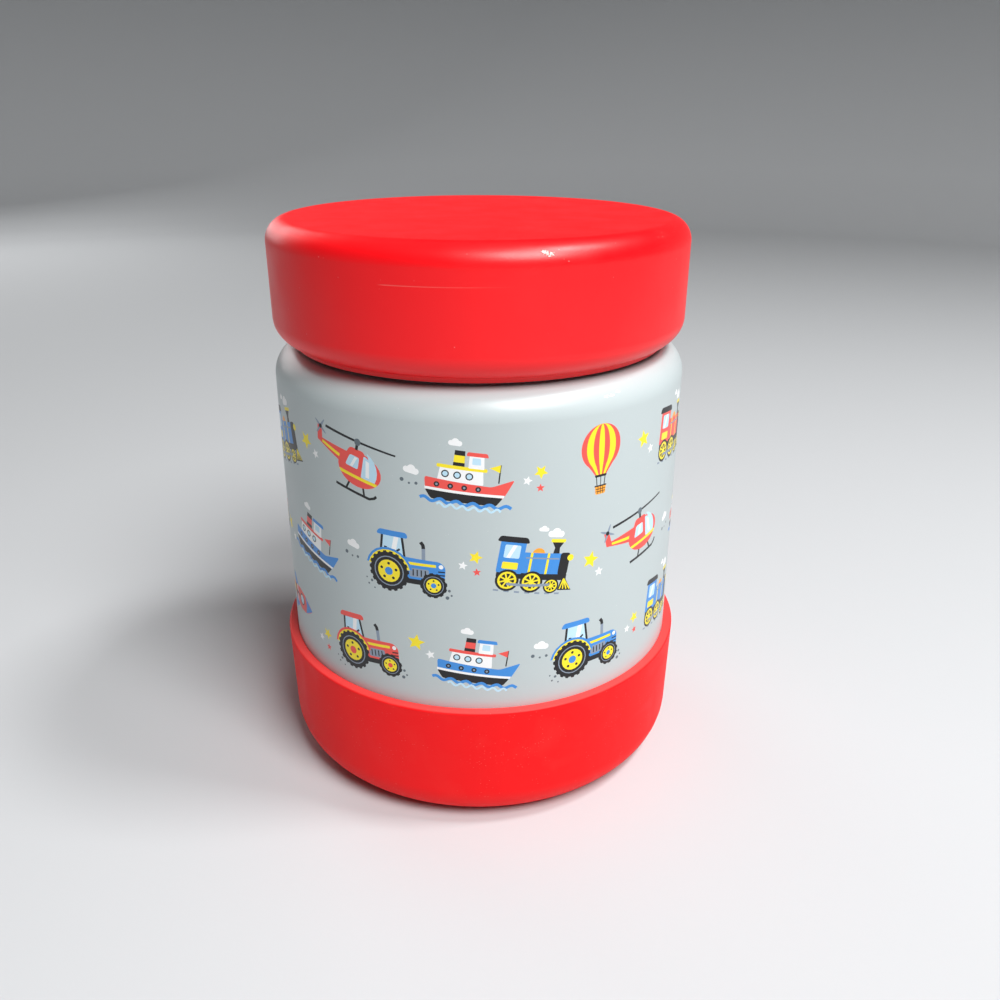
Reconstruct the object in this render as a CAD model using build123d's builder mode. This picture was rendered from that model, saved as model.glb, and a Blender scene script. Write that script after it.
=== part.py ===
from build123d import *
import os

# Insulated food jar: a double-walled steel vessel, a lid that screws on its neck and a silicone boot
# that is stretched over its foot. Millimetres, Z up, the boot standing on z = 0, the jar's axis on Z.
# Each piece is turned about that axis, apart from the ribs of the lid and the parts of the getter.

# ---- Driving dimensions ----

# Outer wall
body_diameter = 92.0
body_height = 96.2  # from the foot to the top of the shoulder
wall_sheet = 0.5
shoulder_round = 6.0
shoulder_share = 0.98  # share of the shoulder that its two rounds may take up
foot_round = 7.0
foot_ring_width = 3.5  # flat ring that is turned in under the foot
neck_height = 16.5  # from the shoulder to the rim
neck_root_round = 0.8

# Food vessel
vessel_sheet = 0.5
neck_vacuum = 0.7  # gap between the two walls in the neck
floor_vacuum = 5.0  # gap between the base and the floor of the vessel
vessel_corner = 9.0
vessel_panel_radius = 23.0
vessel_panel_rise = 0.9
rim_height = 1.1
rim_round = 0.5

# Base
base_sheet = 0.5
base_recess = 3.0
base_round = 1.0
port_radius = 0.7
port_seat_radius = 1.9
port_mouth_radius = 5.0
port_depth = 1.2
seal_height = 0.8
seal_crown = 0.3
cover_sheet = 0.5
cover_rim = 1.6
cover_round = 1.0
cover_inset = 0.3  # the cover lies this far above the foot
weld_gap = 0.05  # between pieces that are welded or pressed together

# Getter in the vacuum
getter_radius = 4.5
getter_height = 1.6
getter_chamfer = 0.4
getter_offset = 17.0
clip_sheet = 0.3
clip_width = 4.0
clip_tab = 3.0

# Reflective wrap in the vacuum
foil_sheet = 0.15
foil_margin = 2.0

# Lid
lid_inset = 0.2  # the lid is this much smaller in radius than the wall
lid_draft = 0.2  # and it narrows by this much from top to bottom
lid_gap = 0.7  # between the shoulder and the lid
lid_top_round = 4.5
lid_bottom_round = 5.0
shell_wall = 2.1
shell_top = 2.2
shell_inner_round = 2.0
shell_air = 0.9  # between the shell and the skirt of the liner
snap_gap = 0.05
skirt_wall = 2.0
thread_space = 1.8  # between the skirt and the neck, where the two threads engage
skirt_lead_in = 0.6
flange_height = 1.8
liner_ceiling = 1.8
liner_edge_round = 1.6
rib_count = 12
rib_width = 2.0
foam_thickness = 3.6
foam_clearance = 0.3

# Seal of the lid
gasket_height = 2.0
gasket_rib = 0.4
gasket_rib_width = 1.6
gasket_crest_width = 0.8
gasket_overhang = 1.2  # the gasket reaches this far past the rim on both sides
seal_gap = 0.3  # between the gasket and the rim
boss_wall = 1.8
boss_bead = 0.5
boss_bead_height = 0.9
bead_lead_in = 0.3
bead_gap = 0.2

# Boot
boot_clearance = 0.2
boot_floor = 2.4
boot_wall = 1.25  # above the bottom edge
boot_rim_wall = 2.0
boot_height = 29.8
boot_bottom_round = 9.0
boot_rim_round = 0.7
boot_foot_ring = 8.0
boot_recess = 0.8

# ---- Levels and radii that follow ----

body_radius = body_diameter / 2
lid_top_radius = body_radius - lid_inset
lid_bottom_radius = lid_top_radius - lid_draft
bore_radius = lid_bottom_radius - shell_wall
skirt_outer = bore_radius - shell_air
skirt_inner = skirt_outer - skirt_wall
neck_radius = skirt_inner - thread_space
mouth_radius = neck_radius - wall_sheet - neck_vacuum - vessel_sheet
vessel_radius = mouth_radius + vessel_sheet

foot_z = boot_floor + boot_clearance
shoulder_z = foot_z + body_height
rim_z = shoulder_z + neck_height
rim_seat_z = rim_z - rim_height
base_seat_z = foot_z + wall_sheet
base_panel_z = base_seat_z + base_recess
base_top_z = base_panel_z + base_sheet
vessel_floor_z = base_top_z + floor_vacuum
port_seat_z = base_panel_z + port_depth
cover_z = foot_z + cover_inset

lid_z = shoulder_z + lid_gap
gasket_z = rim_z + seal_gap
ceiling_z = gasket_z + gasket_height
liner_top_z = ceiling_z + liner_ceiling
foam_z = liner_top_z + foam_clearance
shell_ceiling_z = foam_z + foam_thickness + foam_clearance
lid_top_z = shell_ceiling_z + shell_top

# The rounds of the shoulder and of the neck's root share the width of the shoulder.
shoulder_width = body_radius - neck_radius
shoulder_radius = min(shoulder_round, shoulder_share * (shoulder_width - neck_root_round))

# The recess of the base starts where the turned-in ring of the wall ends.
foot_ring_outer = body_radius - foot_round
foot_ring_inner = foot_ring_outer - foot_ring_width
recess_radius = foot_ring_inner - base_sheet

gasket_outer = neck_radius + gasket_overhang
boss_radius = mouth_radius - gasket_overhang


def lid_form():
    """Half section of the lid's whole outer form, as a sketch on the XZ plane."""
    with BuildSketch(mode=Mode.PRIVATE) as form:
        with BuildLine():
            FilletPolyline(
                (0, lid_z),
                (lid_bottom_radius, lid_z),
                (lid_top_radius, lid_top_z),
                (0, lid_top_z),
                radius=[lid_bottom_round, lid_top_round],
            )
            Line((0, lid_top_z), (0, lid_z))
        make_face()
    return form.sketch


os.makedirs("parts", exist_ok=True)

# Outer wall: one sheet from the ring under the foot, over the shoulder, to the top of the neck.
with BuildPart() as outer_wall:
    with BuildSketch(Plane.XZ):
        with BuildLine():
            FilletPolyline(
                (foot_ring_inner, foot_z),
                (body_radius, foot_z),
                (body_radius, shoulder_z),
                (neck_radius, shoulder_z),
                (neck_radius, rim_seat_z),
                radius=[foot_round, shoulder_radius, neck_root_round],
            )
            offset(amount=wall_sheet, side=Side.LEFT)
        make_face()
    revolve(axis=Axis.Z)

# Food vessel: a drawn cup with a raised panel in its floor, and a rim that lies on the outer wall.
with BuildPart() as inner_vessel:
    with BuildSketch(Plane.XZ):
        with BuildLine():
            FilletPolyline(
                (0, vessel_floor_z + vessel_panel_rise),
                (vessel_panel_radius - vessel_panel_rise, vessel_floor_z + vessel_panel_rise),
                (vessel_panel_radius + vessel_panel_rise, vessel_floor_z),
                (vessel_radius, vessel_floor_z),
                (vessel_radius, rim_seat_z),
                radius=[0, 0, vessel_corner],
            )
            offset(amount=vessel_sheet, kind=Kind.INTERSECTION, side=Side.LEFT)
        make_face()
    revolve(axis=Axis.Z)
    with BuildSketch(Plane.XZ) as rim_section:
        with Locations(((mouth_radius + neck_radius) / 2, rim_seat_z)):
            Rectangle(neck_radius - mouth_radius, rim_height, align=(Align.CENTER, Align.MIN))
        fillet(rim_section.vertices().group_by(Axis.Y)[-1], rim_round)
    revolve(axis=Axis.Z)

# Base: a pressed dish that is welded on the ring of the wall, with the pit of the vacuum port.
with BuildPart() as outer_base:
    with BuildSketch(Plane.XZ):
        with BuildLine():
            FilletPolyline(
                (port_radius, port_seat_z),
                (port_seat_radius, port_seat_z),
                (port_mouth_radius, base_panel_z),
                (recess_radius, base_panel_z),
                (recess_radius, base_seat_z),
                (foot_ring_outer, base_seat_z),
                radius=[0, 0, base_round, 0],
            )
            offset(amount=base_sheet, kind=Kind.INTERSECTION, side=Side.LEFT)
        make_face()
    revolve(axis=Axis.Z)

# Vacuum seal: a drop of solder glass in the pit of the port.
port_slope = (port_mouth_radius - port_seat_radius) / port_depth
seal_top_z = port_seat_z - weld_gap
seal_edge_z = port_seat_z - seal_height
seal_edge_radius = port_seat_radius + seal_height * port_slope - base_sheet / 2
with BuildPart() as vacuum_seal:
    with BuildSketch(Plane.XZ):
        with BuildLine():
            Polyline(
                (0, seal_edge_z - seal_crown),
                (0, seal_top_z),
                (port_seat_radius - base_sheet, seal_top_z),
                (seal_edge_radius, seal_edge_z),
            )
            TangentArc((0, seal_edge_z - seal_crown), (seal_edge_radius, seal_edge_z), tangent=(1, 0))
        make_face()
    revolve(axis=Axis.Z)

# Base cover: a shallow dish that is pressed into the recess of the base and hides the port.
cover_radius = recess_radius - weld_gap
with BuildPart() as base_cover:
    with BuildSketch(Plane.XZ):
        with BuildLine():
            FilletPolyline(
                (0, cover_z),
                (cover_radius, cover_z),
                (cover_radius, cover_z + cover_rim),
                radius=[cover_round],
            )
            offset(amount=cover_sheet, side=Side.LEFT)
        make_face()
    revolve(axis=Axis.Z)

# Getter: a pressed pill on the vacuum side of the base.
with BuildPart() as getter:
    with BuildSketch(Plane.XY.offset(base_top_z)):
        with Locations((getter_offset, 0)):
            Circle(getter_radius)
    extrude(amount=getter_height)
    chamfer(getter.faces().sort_by(Axis.Z)[-1].edges(), getter_chamfer)

# Getter clip: a strap over the pill, with a tab on each side that is spot-welded to the base.
clip_inner = getter_radius + weld_gap
clip_top_z = base_top_z + getter_height + weld_gap
with BuildPart() as getter_clip:
    with BuildSketch(Plane.XZ):
        with BuildLine():
            Polyline(
                (getter_offset - clip_inner - clip_tab, base_top_z),
                (getter_offset - clip_inner, base_top_z),
                (getter_offset - clip_inner, clip_top_z),
                (getter_offset + clip_inner, clip_top_z),
                (getter_offset + clip_inner, base_top_z),
                (getter_offset + clip_inner + clip_tab, base_top_z),
            )
            offset(amount=clip_sheet, side=Side.LEFT)
        make_face()
    extrude(amount=clip_width / 2, both=True)

# Reflective wrap: copper foil round the straight wall of the vessel.
foil_radius = vessel_radius + weld_gap
foil_bottom_z = vessel_floor_z + vessel_corner + foil_margin
foil_top_z = shoulder_z - shoulder_radius - foil_margin
with BuildPart() as copper_foil:
    with BuildSketch(Plane.XY.offset(foil_bottom_z)):
        Circle(foil_radius + foil_sheet)
        Circle(foil_radius, mode=Mode.SUBTRACT)
    extrude(amount=foil_top_z - foil_bottom_z)

# Lid shell: the outer cap, open below.
with BuildPart() as lid_shell:
    with BuildSketch(Plane.XZ):
        add(lid_form())
        with BuildSketch(mode=Mode.PRIVATE) as bore_section:
            Rectangle(bore_radius, shell_ceiling_z, align=(Align.MIN, Align.MIN))
            fillet(bore_section.vertices().group_by(Axis.Y)[-1].sort_by(Axis.X)[-1], shell_inner_round)
        add(bore_section.sketch, mode=Mode.SUBTRACT)
    revolve(axis=Axis.Z)

# Lid liner: the inner cap that screws on the neck. Its flange goes on with the round of the shell, and
# its ribs carry the turn of the shell to the skirt.
flange_radius = bore_radius - snap_gap
flange_z = lid_z + flange_height
bead_z = gasket_z - bead_gap - boss_bead_height
bead_radius = boss_radius + boss_bead
with BuildPart() as lid_liner:
    with BuildSketch(Plane.XZ):
        with BuildLine():
            FilletPolyline(
                (0, ceiling_z),
                (skirt_inner, ceiling_z),
                (skirt_inner, lid_z + skirt_lead_in),
                (skirt_inner + skirt_lead_in, lid_z),
                (flange_radius, lid_z),
                (flange_radius, flange_z),
                (skirt_outer, flange_z),
                (skirt_outer, liner_top_z),
                (0, liner_top_z),
                radius=[0, 0, 0, 0, 0, 0, liner_edge_round],
            )
            Line((0, liner_top_z), (0, ceiling_z))
        make_face()
        add(lid_form(), mode=Mode.INTERSECT)
        with BuildLine():
            Polyline(
                (boss_radius - boss_wall, ceiling_z),
                (boss_radius - boss_wall, bead_z),
                (bead_radius - bead_lead_in, bead_z),
                (bead_radius, bead_z + bead_lead_in),
                (bead_radius, bead_z + boss_bead_height),
                (boss_radius, bead_z + boss_bead_height),
                (boss_radius, ceiling_z),
                close=True,
            )
        make_face()
    revolve(axis=Axis.Z)
    with BuildSketch(Plane.XY.offset(flange_z)):
        with PolarLocations(skirt_outer - skirt_wall / 2, rib_count):
            Rectangle(
                flange_radius - skirt_outer + skirt_wall / 2,
                rib_width,
                align=(Align.MIN, Align.CENTER),
            )
    extrude(amount=ceiling_z - flange_z)

# Lid foam: an insulating disc that lies loose between the shell and the liner.
with BuildPart() as lid_foam:
    with BuildSketch(Plane.XY.offset(foam_z)):
        Circle(bore_radius - shell_inner_round)
    extrude(amount=foam_thickness)

# Lid gasket: a silicone ring round the boss of the liner, with a rib that seals on the rim.
rib_radius = (mouth_radius + neck_radius) / 2
rib_seat_z = gasket_z + gasket_rib
with BuildPart() as lid_gasket:
    with BuildSketch(Plane.XZ):
        with BuildLine():
            Polyline(
                (boss_radius, ceiling_z),
                (boss_radius, rib_seat_z),
                (rib_radius - gasket_rib_width / 2, rib_seat_z),
                (rib_radius - gasket_crest_width / 2, gasket_z),
                (rib_radius + gasket_crest_width / 2, gasket_z),
                (rib_radius + gasket_rib_width / 2, rib_seat_z),
                (gasket_outer, rib_seat_z),
                (gasket_outer, ceiling_z),
                close=True,
            )
        make_face()
    revolve(axis=Axis.Z)

# Boot: a thick silicone cup with a round bottom edge, a wall that widens to its rim and a shallow
# recess under its floor.
boot_inner = body_radius + boot_clearance
boot_inner_round = foot_round + boot_clearance
boot_recess_radius = boot_inner + boot_wall - boot_bottom_round - boot_foot_ring
with BuildPart() as boot:
    with BuildSketch(Plane.XZ) as boot_section:
        with BuildLine():
            FilletPolyline(
                (0, boot_recess),
                (boot_recess_radius, boot_recess),
                (boot_recess_radius + boot_recess, 0),
                (boot_inner + boot_wall, 0),
                (boot_inner + boot_rim_wall, boot_height),
                (boot_inner, boot_height),
                (boot_inner, boot_floor),
                (0, boot_floor),
                radius=[
                    0,
                    0,
                    boot_bottom_round,
                    boot_rim_round,
                    boot_rim_round,
                    boot_inner_round,
                ],
            )
            Line((0, boot_floor), (0, boot_recess))
        make_face()
    revolve(axis=Axis.Z)

# ---- Finished pieces ----

outer_wall.part.label = "outer_wall"
inner_vessel.part.label = "inner_vessel"
outer_base.part.label = "outer_base"
vacuum_seal.part.label = "vacuum_seal"
base_cover.part.label = "base_cover"
getter.part.label = "getter"
getter_clip.part.label = "getter_clip"
copper_foil.part.label = "copper_foil"
lid_shell.part.label = "lid_shell"
lid_liner.part.label = "lid_liner"
lid_foam.part.label = "lid_foam"
lid_gasket.part.label = "lid_gasket"
boot.part.label = "boot"

export_step(outer_wall.part, "parts/outer_wall.step")
export_step(inner_vessel.part, "parts/inner_vessel.step")
export_step(outer_base.part, "parts/outer_base.step")
export_step(vacuum_seal.part, "parts/vacuum_seal.step")
export_step(base_cover.part, "parts/base_cover.step")
export_step(getter.part, "parts/getter.step")
export_step(getter_clip.part, "parts/getter_clip.step")
export_step(copper_foil.part, "parts/copper_foil.step")
export_step(lid_shell.part, "parts/lid_shell.step")
export_step(lid_liner.part, "parts/lid_liner.step")
export_step(lid_foam.part, "parts/lid_foam.step")
export_step(lid_gasket.part, "parts/lid_gasket.step")
export_step(boot.part, "parts/boot.step")
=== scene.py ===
"""Dresses the insulated food jar: its printed steel wall, its vessel, its screw lid and its boot.

Sizes are in millimetres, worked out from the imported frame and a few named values, and turned to metres
where a mesh or a node is made. Turned pieces are lathed round the Z axis. Their columns are counted from
the back, so that the seam of the print lies behind the jar.
"""

import logging
import math
import random
from collections.abc import Callable, Iterable, Sequence
from dataclasses import dataclass, field
from enum import Enum
from typing import Any, NamedTuple

import bpy
from mathutils import Matrix, Vector, geometry


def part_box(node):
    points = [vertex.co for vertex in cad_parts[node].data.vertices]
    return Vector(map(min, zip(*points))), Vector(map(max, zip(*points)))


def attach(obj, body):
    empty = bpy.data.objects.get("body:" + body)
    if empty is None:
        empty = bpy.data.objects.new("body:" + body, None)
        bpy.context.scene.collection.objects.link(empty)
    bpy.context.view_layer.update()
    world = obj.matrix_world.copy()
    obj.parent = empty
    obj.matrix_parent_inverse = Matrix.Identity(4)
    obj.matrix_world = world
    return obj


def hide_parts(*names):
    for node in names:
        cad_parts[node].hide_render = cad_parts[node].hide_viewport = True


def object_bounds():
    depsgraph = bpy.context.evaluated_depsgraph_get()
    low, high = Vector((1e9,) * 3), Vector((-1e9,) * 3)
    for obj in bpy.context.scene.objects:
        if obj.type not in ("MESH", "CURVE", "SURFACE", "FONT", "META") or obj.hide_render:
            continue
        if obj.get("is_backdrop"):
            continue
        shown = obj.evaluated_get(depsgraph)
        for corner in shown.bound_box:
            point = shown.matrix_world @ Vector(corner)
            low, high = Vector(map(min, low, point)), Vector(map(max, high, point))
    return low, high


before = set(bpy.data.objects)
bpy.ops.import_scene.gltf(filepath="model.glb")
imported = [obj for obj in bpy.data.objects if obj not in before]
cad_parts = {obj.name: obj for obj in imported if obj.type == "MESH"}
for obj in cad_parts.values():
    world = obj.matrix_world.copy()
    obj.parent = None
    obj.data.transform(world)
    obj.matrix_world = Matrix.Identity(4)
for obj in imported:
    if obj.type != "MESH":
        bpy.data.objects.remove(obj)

log = logging.getLogger("food_jar")

MM = 0.001  # metres in a millimetre
COLUMNS = 180  # steps of every turned piece, two degrees each
ARC_STEP = 9.0  # degrees between the points of a round
PRINT_STEPS = 1024  # the print's points keep to this many steps a millimetre, so that the seam's sides agree
CLOSE = 0.0001  # millimetres between points of the print that count as one, less than such a step
NIL = 1e-6  # millimetres that count as nothing
HAIR = 0.01  # millimetres between two corners that have to stay apart

Point = tuple[float, float]
Place = tuple[float, float, float]
Node = bpy.types.Node
Source = Node | bpy.types.NodeSocket
Piece = bpy.types.Object

# The kinds of node that are used most, by their names in Blender.
MATH = "ShaderNodeMath"
VECTOR_MATH = "ShaderNodeVectorMath"
NOISE = "ShaderNodeTexNoise"
CELLS = "ShaderNodeTexVoronoi"
RANGE = "ShaderNodeMapRange"
SPLIT = "ShaderNodeSeparateXYZ"
JOIN = "ShaderNodeCombineXYZ"


# ---- Node trees ----


class Graph:
    """A node tree that is built one node at a time."""

    def __init__(self, tree: bpy.types.NodeTree) -> None:
        """Starts on a tree."""
        self.tree = tree

    def add(self, kind: str, inputs: Sequence[Any] | dict[str | int, Any] = (), **settings: Any) -> Node:
        """Adds a node with its settings, its values and its links.

        Args:
            kind: The node's type name in Blender.
            inputs: Its inputs in order, or by name or number. Each is a value, a socket, or a node, which
                stands for its first output.
            settings: The node's own properties.

        Returns:
            The new node.
        """
        node = self.tree.nodes.new(kind)
        for name, value in settings.items():
            setattr(node, name, value)
        for key, value in inputs.items() if isinstance(inputs, dict) else enumerate(inputs):
            source = value.outputs[0] if isinstance(value, Node) else value
            if isinstance(source, bpy.types.NodeSocket):
                self.tree.links.new(source, node.inputs[key])
            else:
                node.inputs[key].default_value = source
        return node


def linear(code: str) -> tuple[float, float, float, float]:
    """Turns an sRGB hex code into a linear colour.

    Args:
        code: Six hex digits.

    Returns:
        Red, green, blue and an alpha of 1.
    """
    shares = [int(code[start : start + 2], 16) / 255 for start in (0, 2, 4)]
    return (*[s / 12.92 if s <= 0.04045 else ((s + 0.055) / 1.055) ** 2.4 for s in shares], 1.0)


@dataclass(frozen=True)
class Scratch:
    """A long fine scratch on the side of a turned piece."""

    start: Point  # degrees round the axis from the front, and height in millimetres
    end: Point
    width: float


class Coat(Graph):
    """The nodes of one material: its shader, and the piece's own coordinates in metres."""

    def __init__(self, material: bpy.types.Material) -> None:
        """Starts with the material's shader alone.

        Args:
            material: The material, with its nodes in use.
        """
        super().__init__(material.node_tree)
        self.shader = self.tree.nodes["Principled BSDF"]
        self.place = self.add("ShaderNodeTexCoord").outputs["Object"]

    def cells(self, size: float, **others: Any) -> dict[str, Any]:
        """Returns the inputs of a texture whose cells span a size in millimetres, and any others given."""
        return {"Vector": self.place, "Scale": 1.0 / (size * MM)} | others

    def vary_gloss(self, source: Source, span: Point, ends: Point) -> None:
        """Makes the roughness follow a node.

        Args:
            source: The node.
            span: Two of its values.
            ends: The roughness at each of them.
        """
        rough = self.add(RANGE, (source, *span, *ends))
        self.tree.links.new(rough.outputs[0], self.shader.inputs["Roughness"])

    def tint(self, share: Source, colour: str) -> None:
        """Blends the colour towards another one.

        Args:
            share: How much of the other colour shows, from 0 to 1.
            colour: Its sRGB hex value.
        """
        socket = self.shader.inputs["Base Color"]
        base = socket.links[0].from_socket if socket.is_linked else tuple(socket.default_value)
        mix = self.add("ShaderNodeMix", {0: share, 6: base, 7: linear(colour)}, data_type="RGBA")
        self.tree.links.new(mix.outputs[2], socket)

    def cloud(self, source: Source, span: Point, share: float, colour: str) -> None:
        """Tints the surface where a node is high.

        Args:
            source: The node.
            span: The values between which the tint comes in.
            share: How much of the colour shows at most.
            colour: Its sRGB hex value.
        """
        self.tint(self.add(RANGE, (source, *span, 0.0, share)), colour)

    def relief(self, height: Source, depth: float, strength: float = 1.0) -> None:
        """Adds a bump of a real depth on top of those that are there.

        Args:
            height: The height, from 0 to 1.
            depth: The depth of that whole range in millimetres.
            strength: How much of it shows.
        """
        values = {"Height": height, "Distance": depth * MM, "Strength": strength}
        socket = self.shader.inputs["Normal"]
        if socket.is_linked:
            values["Normal"] = socket.links[0].from_socket
        self.tree.links.new(self.add("ShaderNodeBump", values).outputs[0], socket)

    def specks(self, spacing: float, patch: float, rarity: float, share: float, colour: str) -> None:
        """Scatters specks of dust that lie in patches.

        Args:
            spacing: The distance between specks in millimetres.
            patch: The width of a patch.
            rarity: How much of the surface stays clean, from 0.5 to 0.7.
            share: How much of the dust's colour shows.
            colour: Its sRGB hex value.
        """
        # A speck is about a tenth of its cell across, and a patch has soft ends.
        spots = self.add(CELLS, self.cells(spacing))
        dots = self.add(RANGE, (spots, 0.07, 0.13, 1.0, 0.0))
        patches = self.add(NOISE, self.cells(patch))
        chosen = self.add(RANGE, (patches, rarity, rarity + 0.06, 0.0, share))
        self.tint(self.add(MATH, (dots, chosen), operation="MULTIPLY"), colour)

    def chip(self, middle: Place, size: float, colour: str, rise: float) -> None:
        """Chips the surface, as a knock against an edge does: ragged, and twice as wide as high.

        Args:
            middle: The chip's middle in millimetres.
            size: Half its height.
            colour: The sRGB hex value of what it bares.
            rise: How far it stands out in millimetres, or below 0 how deep it lies.
        """
        there = tuple(value * MM for value in middle)
        apart = self.add(VECTOR_MATH, (self.place, there), operation="SUBTRACT")
        squat = self.add(VECTOR_MATH, (apart, (0.5, 0.5, 1.0)), operation="MULTIPLY")
        reach = self.add(VECTOR_MATH, (squat,), operation="LENGTH").outputs["Value"]
        near = self.add(RANGE, (reach, 0.1 * size * MM, size * MM, 1.0, 0.0))
        # Crumbs a little smaller than the chip gnaw at its edge.
        crumbs = self.add(NOISE, self.cells(0.7 * size, Detail=3.0))
        ragged = self.add(RANGE, (crumbs, 0.35, 0.65, -0.5, 0.3))
        edge = self.add(MATH, (near, ragged), operation="ADD")
        mark = self.add(RANGE, (edge, 0.35, 0.6, 0.0, 1.0))
        self.tint(mark, colour)
        self.relief(mark, rise)

    def scratch(self, scratch: Scratch, colour: str, depth: float) -> None:
        """Scratches the surface, deepest at the start and fading towards the end.

        Args:
            scratch: Where the scratch runs.
            colour: The sRGB hex value of its pale line: partly what it bares, partly a painted highlight
                where it catches the light.
            depth: Its depth in millimetres.
        """
        parts = self.add(SPLIT, (self.place,)).outputs
        ahead = self.add(MATH, (parts[1], -1.0), operation="MULTIPLY")
        angle = self.add(MATH, (parts[0], ahead), operation="ARCTAN2")
        sweep = (math.radians(scratch.start[0]), math.radians(scratch.end[0]))
        line = self.add(RANGE, (angle, *sweep, scratch.start[1] * MM, scratch.end[1] * MM))
        above = self.add(MATH, (parts[2], line), operation="SUBTRACT")
        aside = self.add(MATH, (above,), operation="ABSOLUTE")
        core = self.add(RANGE, (aside, 0.0, scratch.width / 2 * MM, 1.0, 0.0))
        lead_in = self.add(RANGE, (angle, sweep[0], sweep[0] + 0.03, 0.0, 1.0))
        fade = self.add(RANGE, (angle, *sweep, 1.0, 0.0))
        ends = self.add(MATH, (lead_in, fade), operation="MULTIPLY")
        mark = self.add(MATH, (core, ends), operation="MULTIPLY")
        self.tint(mark, colour)
        self.relief(mark, -depth)


# ---- Finishes ----


@dataclass(frozen=True)
class Finish:
    """A surface finish, with what is the same all over it. Subclasses add what varies."""

    name: str  # what the material is and how its surface was made
    colour: str  # sRGB hex value
    roughness: float
    ior: float = 1.5  # a metal leaves it alone

    def material(self) -> bpy.types.Material:
        """Makes the Blender material, once for each name.

        Returns:
            The material.
        """
        found = bpy.data.materials.get(self.name)
        if found:
            return found
        made = bpy.data.materials.new(self.name)
        made.use_nodes = True
        made.diffuse_color = linear(self.colour)
        coat = Coat(made)
        coat.shader.inputs["Base Color"].default_value = linear(self.colour)
        coat.shader.inputs["Roughness"].default_value = self.roughness
        coat.shader.inputs["IOR"].default_value = self.ior
        self.dress(coat)
        return made

    def dress(self, coat: Coat) -> None:
        """Adds the nodes that make this finish."""


@dataclass(frozen=True)
class PrintedInk(Finish):
    """Pad-printed ink under the clear coat of the enamel: one crisp colour with the same satin gloss."""

    peel: float = 1.3  # width of a wave of the orange peel, drawn coarse enough to show
    peel_depth: float = 0.006
    patch: float = 14.0  # width of a patch of uneven gloss

    def dress(self, coat: Coat) -> None:
        """Adds the uneven gloss and the orange peel of the coat.

        Args:
            coat: The material's nodes.
        """
        cloud = coat.add(NOISE, coat.cells(self.patch, Detail=3.0))
        coat.vary_gloss(cloud, (0.3, 0.7), (self.roughness - 0.04, self.roughness + 0.05))
        peel = coat.add(NOISE, coat.cells(self.peel))
        coat.relief(peel, self.peel_depth)


@dataclass(frozen=True)
class BakedEnamel(PrintedInk):
    """Enamel sprayed on steel and baked: a satin skin with a soft orange peel and a few pale specks."""

    speck: float = 0.9  # spacing of the specks of dust
    chips: tuple[Place, ...] = ()  # places in millimetres
    chip_size: float = 0.4

    def dress(self, coat: Coat) -> None:
        """Adds specks of dust and small chips to what the inks have.

        Args:
            coat: The material's nodes.
        """
        super().dress(coat)
        coat.specks(self.speck, patch=3.0, rarity=0.60, share=0.35, colour="EEF2F2")
        for middle in self.chips:
            coat.chip(middle, self.chip_size, "FFFFFF", rise=-0.03)


@dataclass(frozen=True)
class MouldedPolypropylene(Finish):
    """Polypropylene from a spark-eroded mould: satin, finely grained, scuffed paler by use."""

    grain: float = 0.35  # spark-eroded grain, drawn twice its real width
    grain_depth: float = 0.010
    patch: float = 9.0  # width of a patch of uneven gloss
    scuff: float = 16.0  # width of a scuffed patch
    scuffed: str = "FF4A45"
    speck: float = 1.1  # spacing of the specks of dust
    hair: float = 9.0  # spacing of the fine scratches
    hair_depth: float = 0.004
    scratch_and_highlight: str = "FF6C66"  # pale line of a scratch: partly torn skin, partly a painted highlight where it catches the light
    scratches: tuple[Scratch, ...] = ()
    chips: tuple[Place, ...] = ()  # places in millimetres
    chip_size: float = 0.6

    def dress(self, coat: Coat) -> None:
        """Adds the grain, scuffs, specks of dust, fine scratches all over and the marks of use.

        Args:
            coat: The material's nodes.
        """
        cloud = coat.add(NOISE, coat.cells(self.patch, Detail=4.0))
        coat.vary_gloss(cloud, (0.25, 0.75), (self.roughness - 0.05, self.roughness + 0.07))
        worn = coat.add(NOISE, coat.cells(self.scuff, Detail=5.0, Distortion=0.6))
        coat.cloud(worn, (0.52, 0.80), share=0.07, colour=self.scuffed)
        coat.specks(self.speck, patch=4.0, rarity=0.62, share=0.4, colour="FFC9C4")
        turned = {"Vector": coat.place, "Rotation": (0.3, 0.2, 0.5), "Scale": (1.0, 14.0, 14.0)}
        stretched = coat.add("ShaderNodeMapping", turned)
        hairs = coat.add(NOISE, coat.cells(self.hair, Vector=stretched, Detail=1.0))
        coat.relief(coat.add(RANGE, (hairs, 0.485, 0.5, 0.0, 1.0)), self.hair_depth, strength=0.35)
        grain = coat.add(NOISE, coat.cells(self.grain, Detail=1.0))
        coat.relief(grain, self.grain_depth)
        for scratch in self.scratches:
            coat.scratch(scratch, self.scratch_and_highlight, depth=0.02)
        for middle in self.chips:
            coat.chip(middle, self.chip_size, "FFCCC5", rise=0.06)


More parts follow.
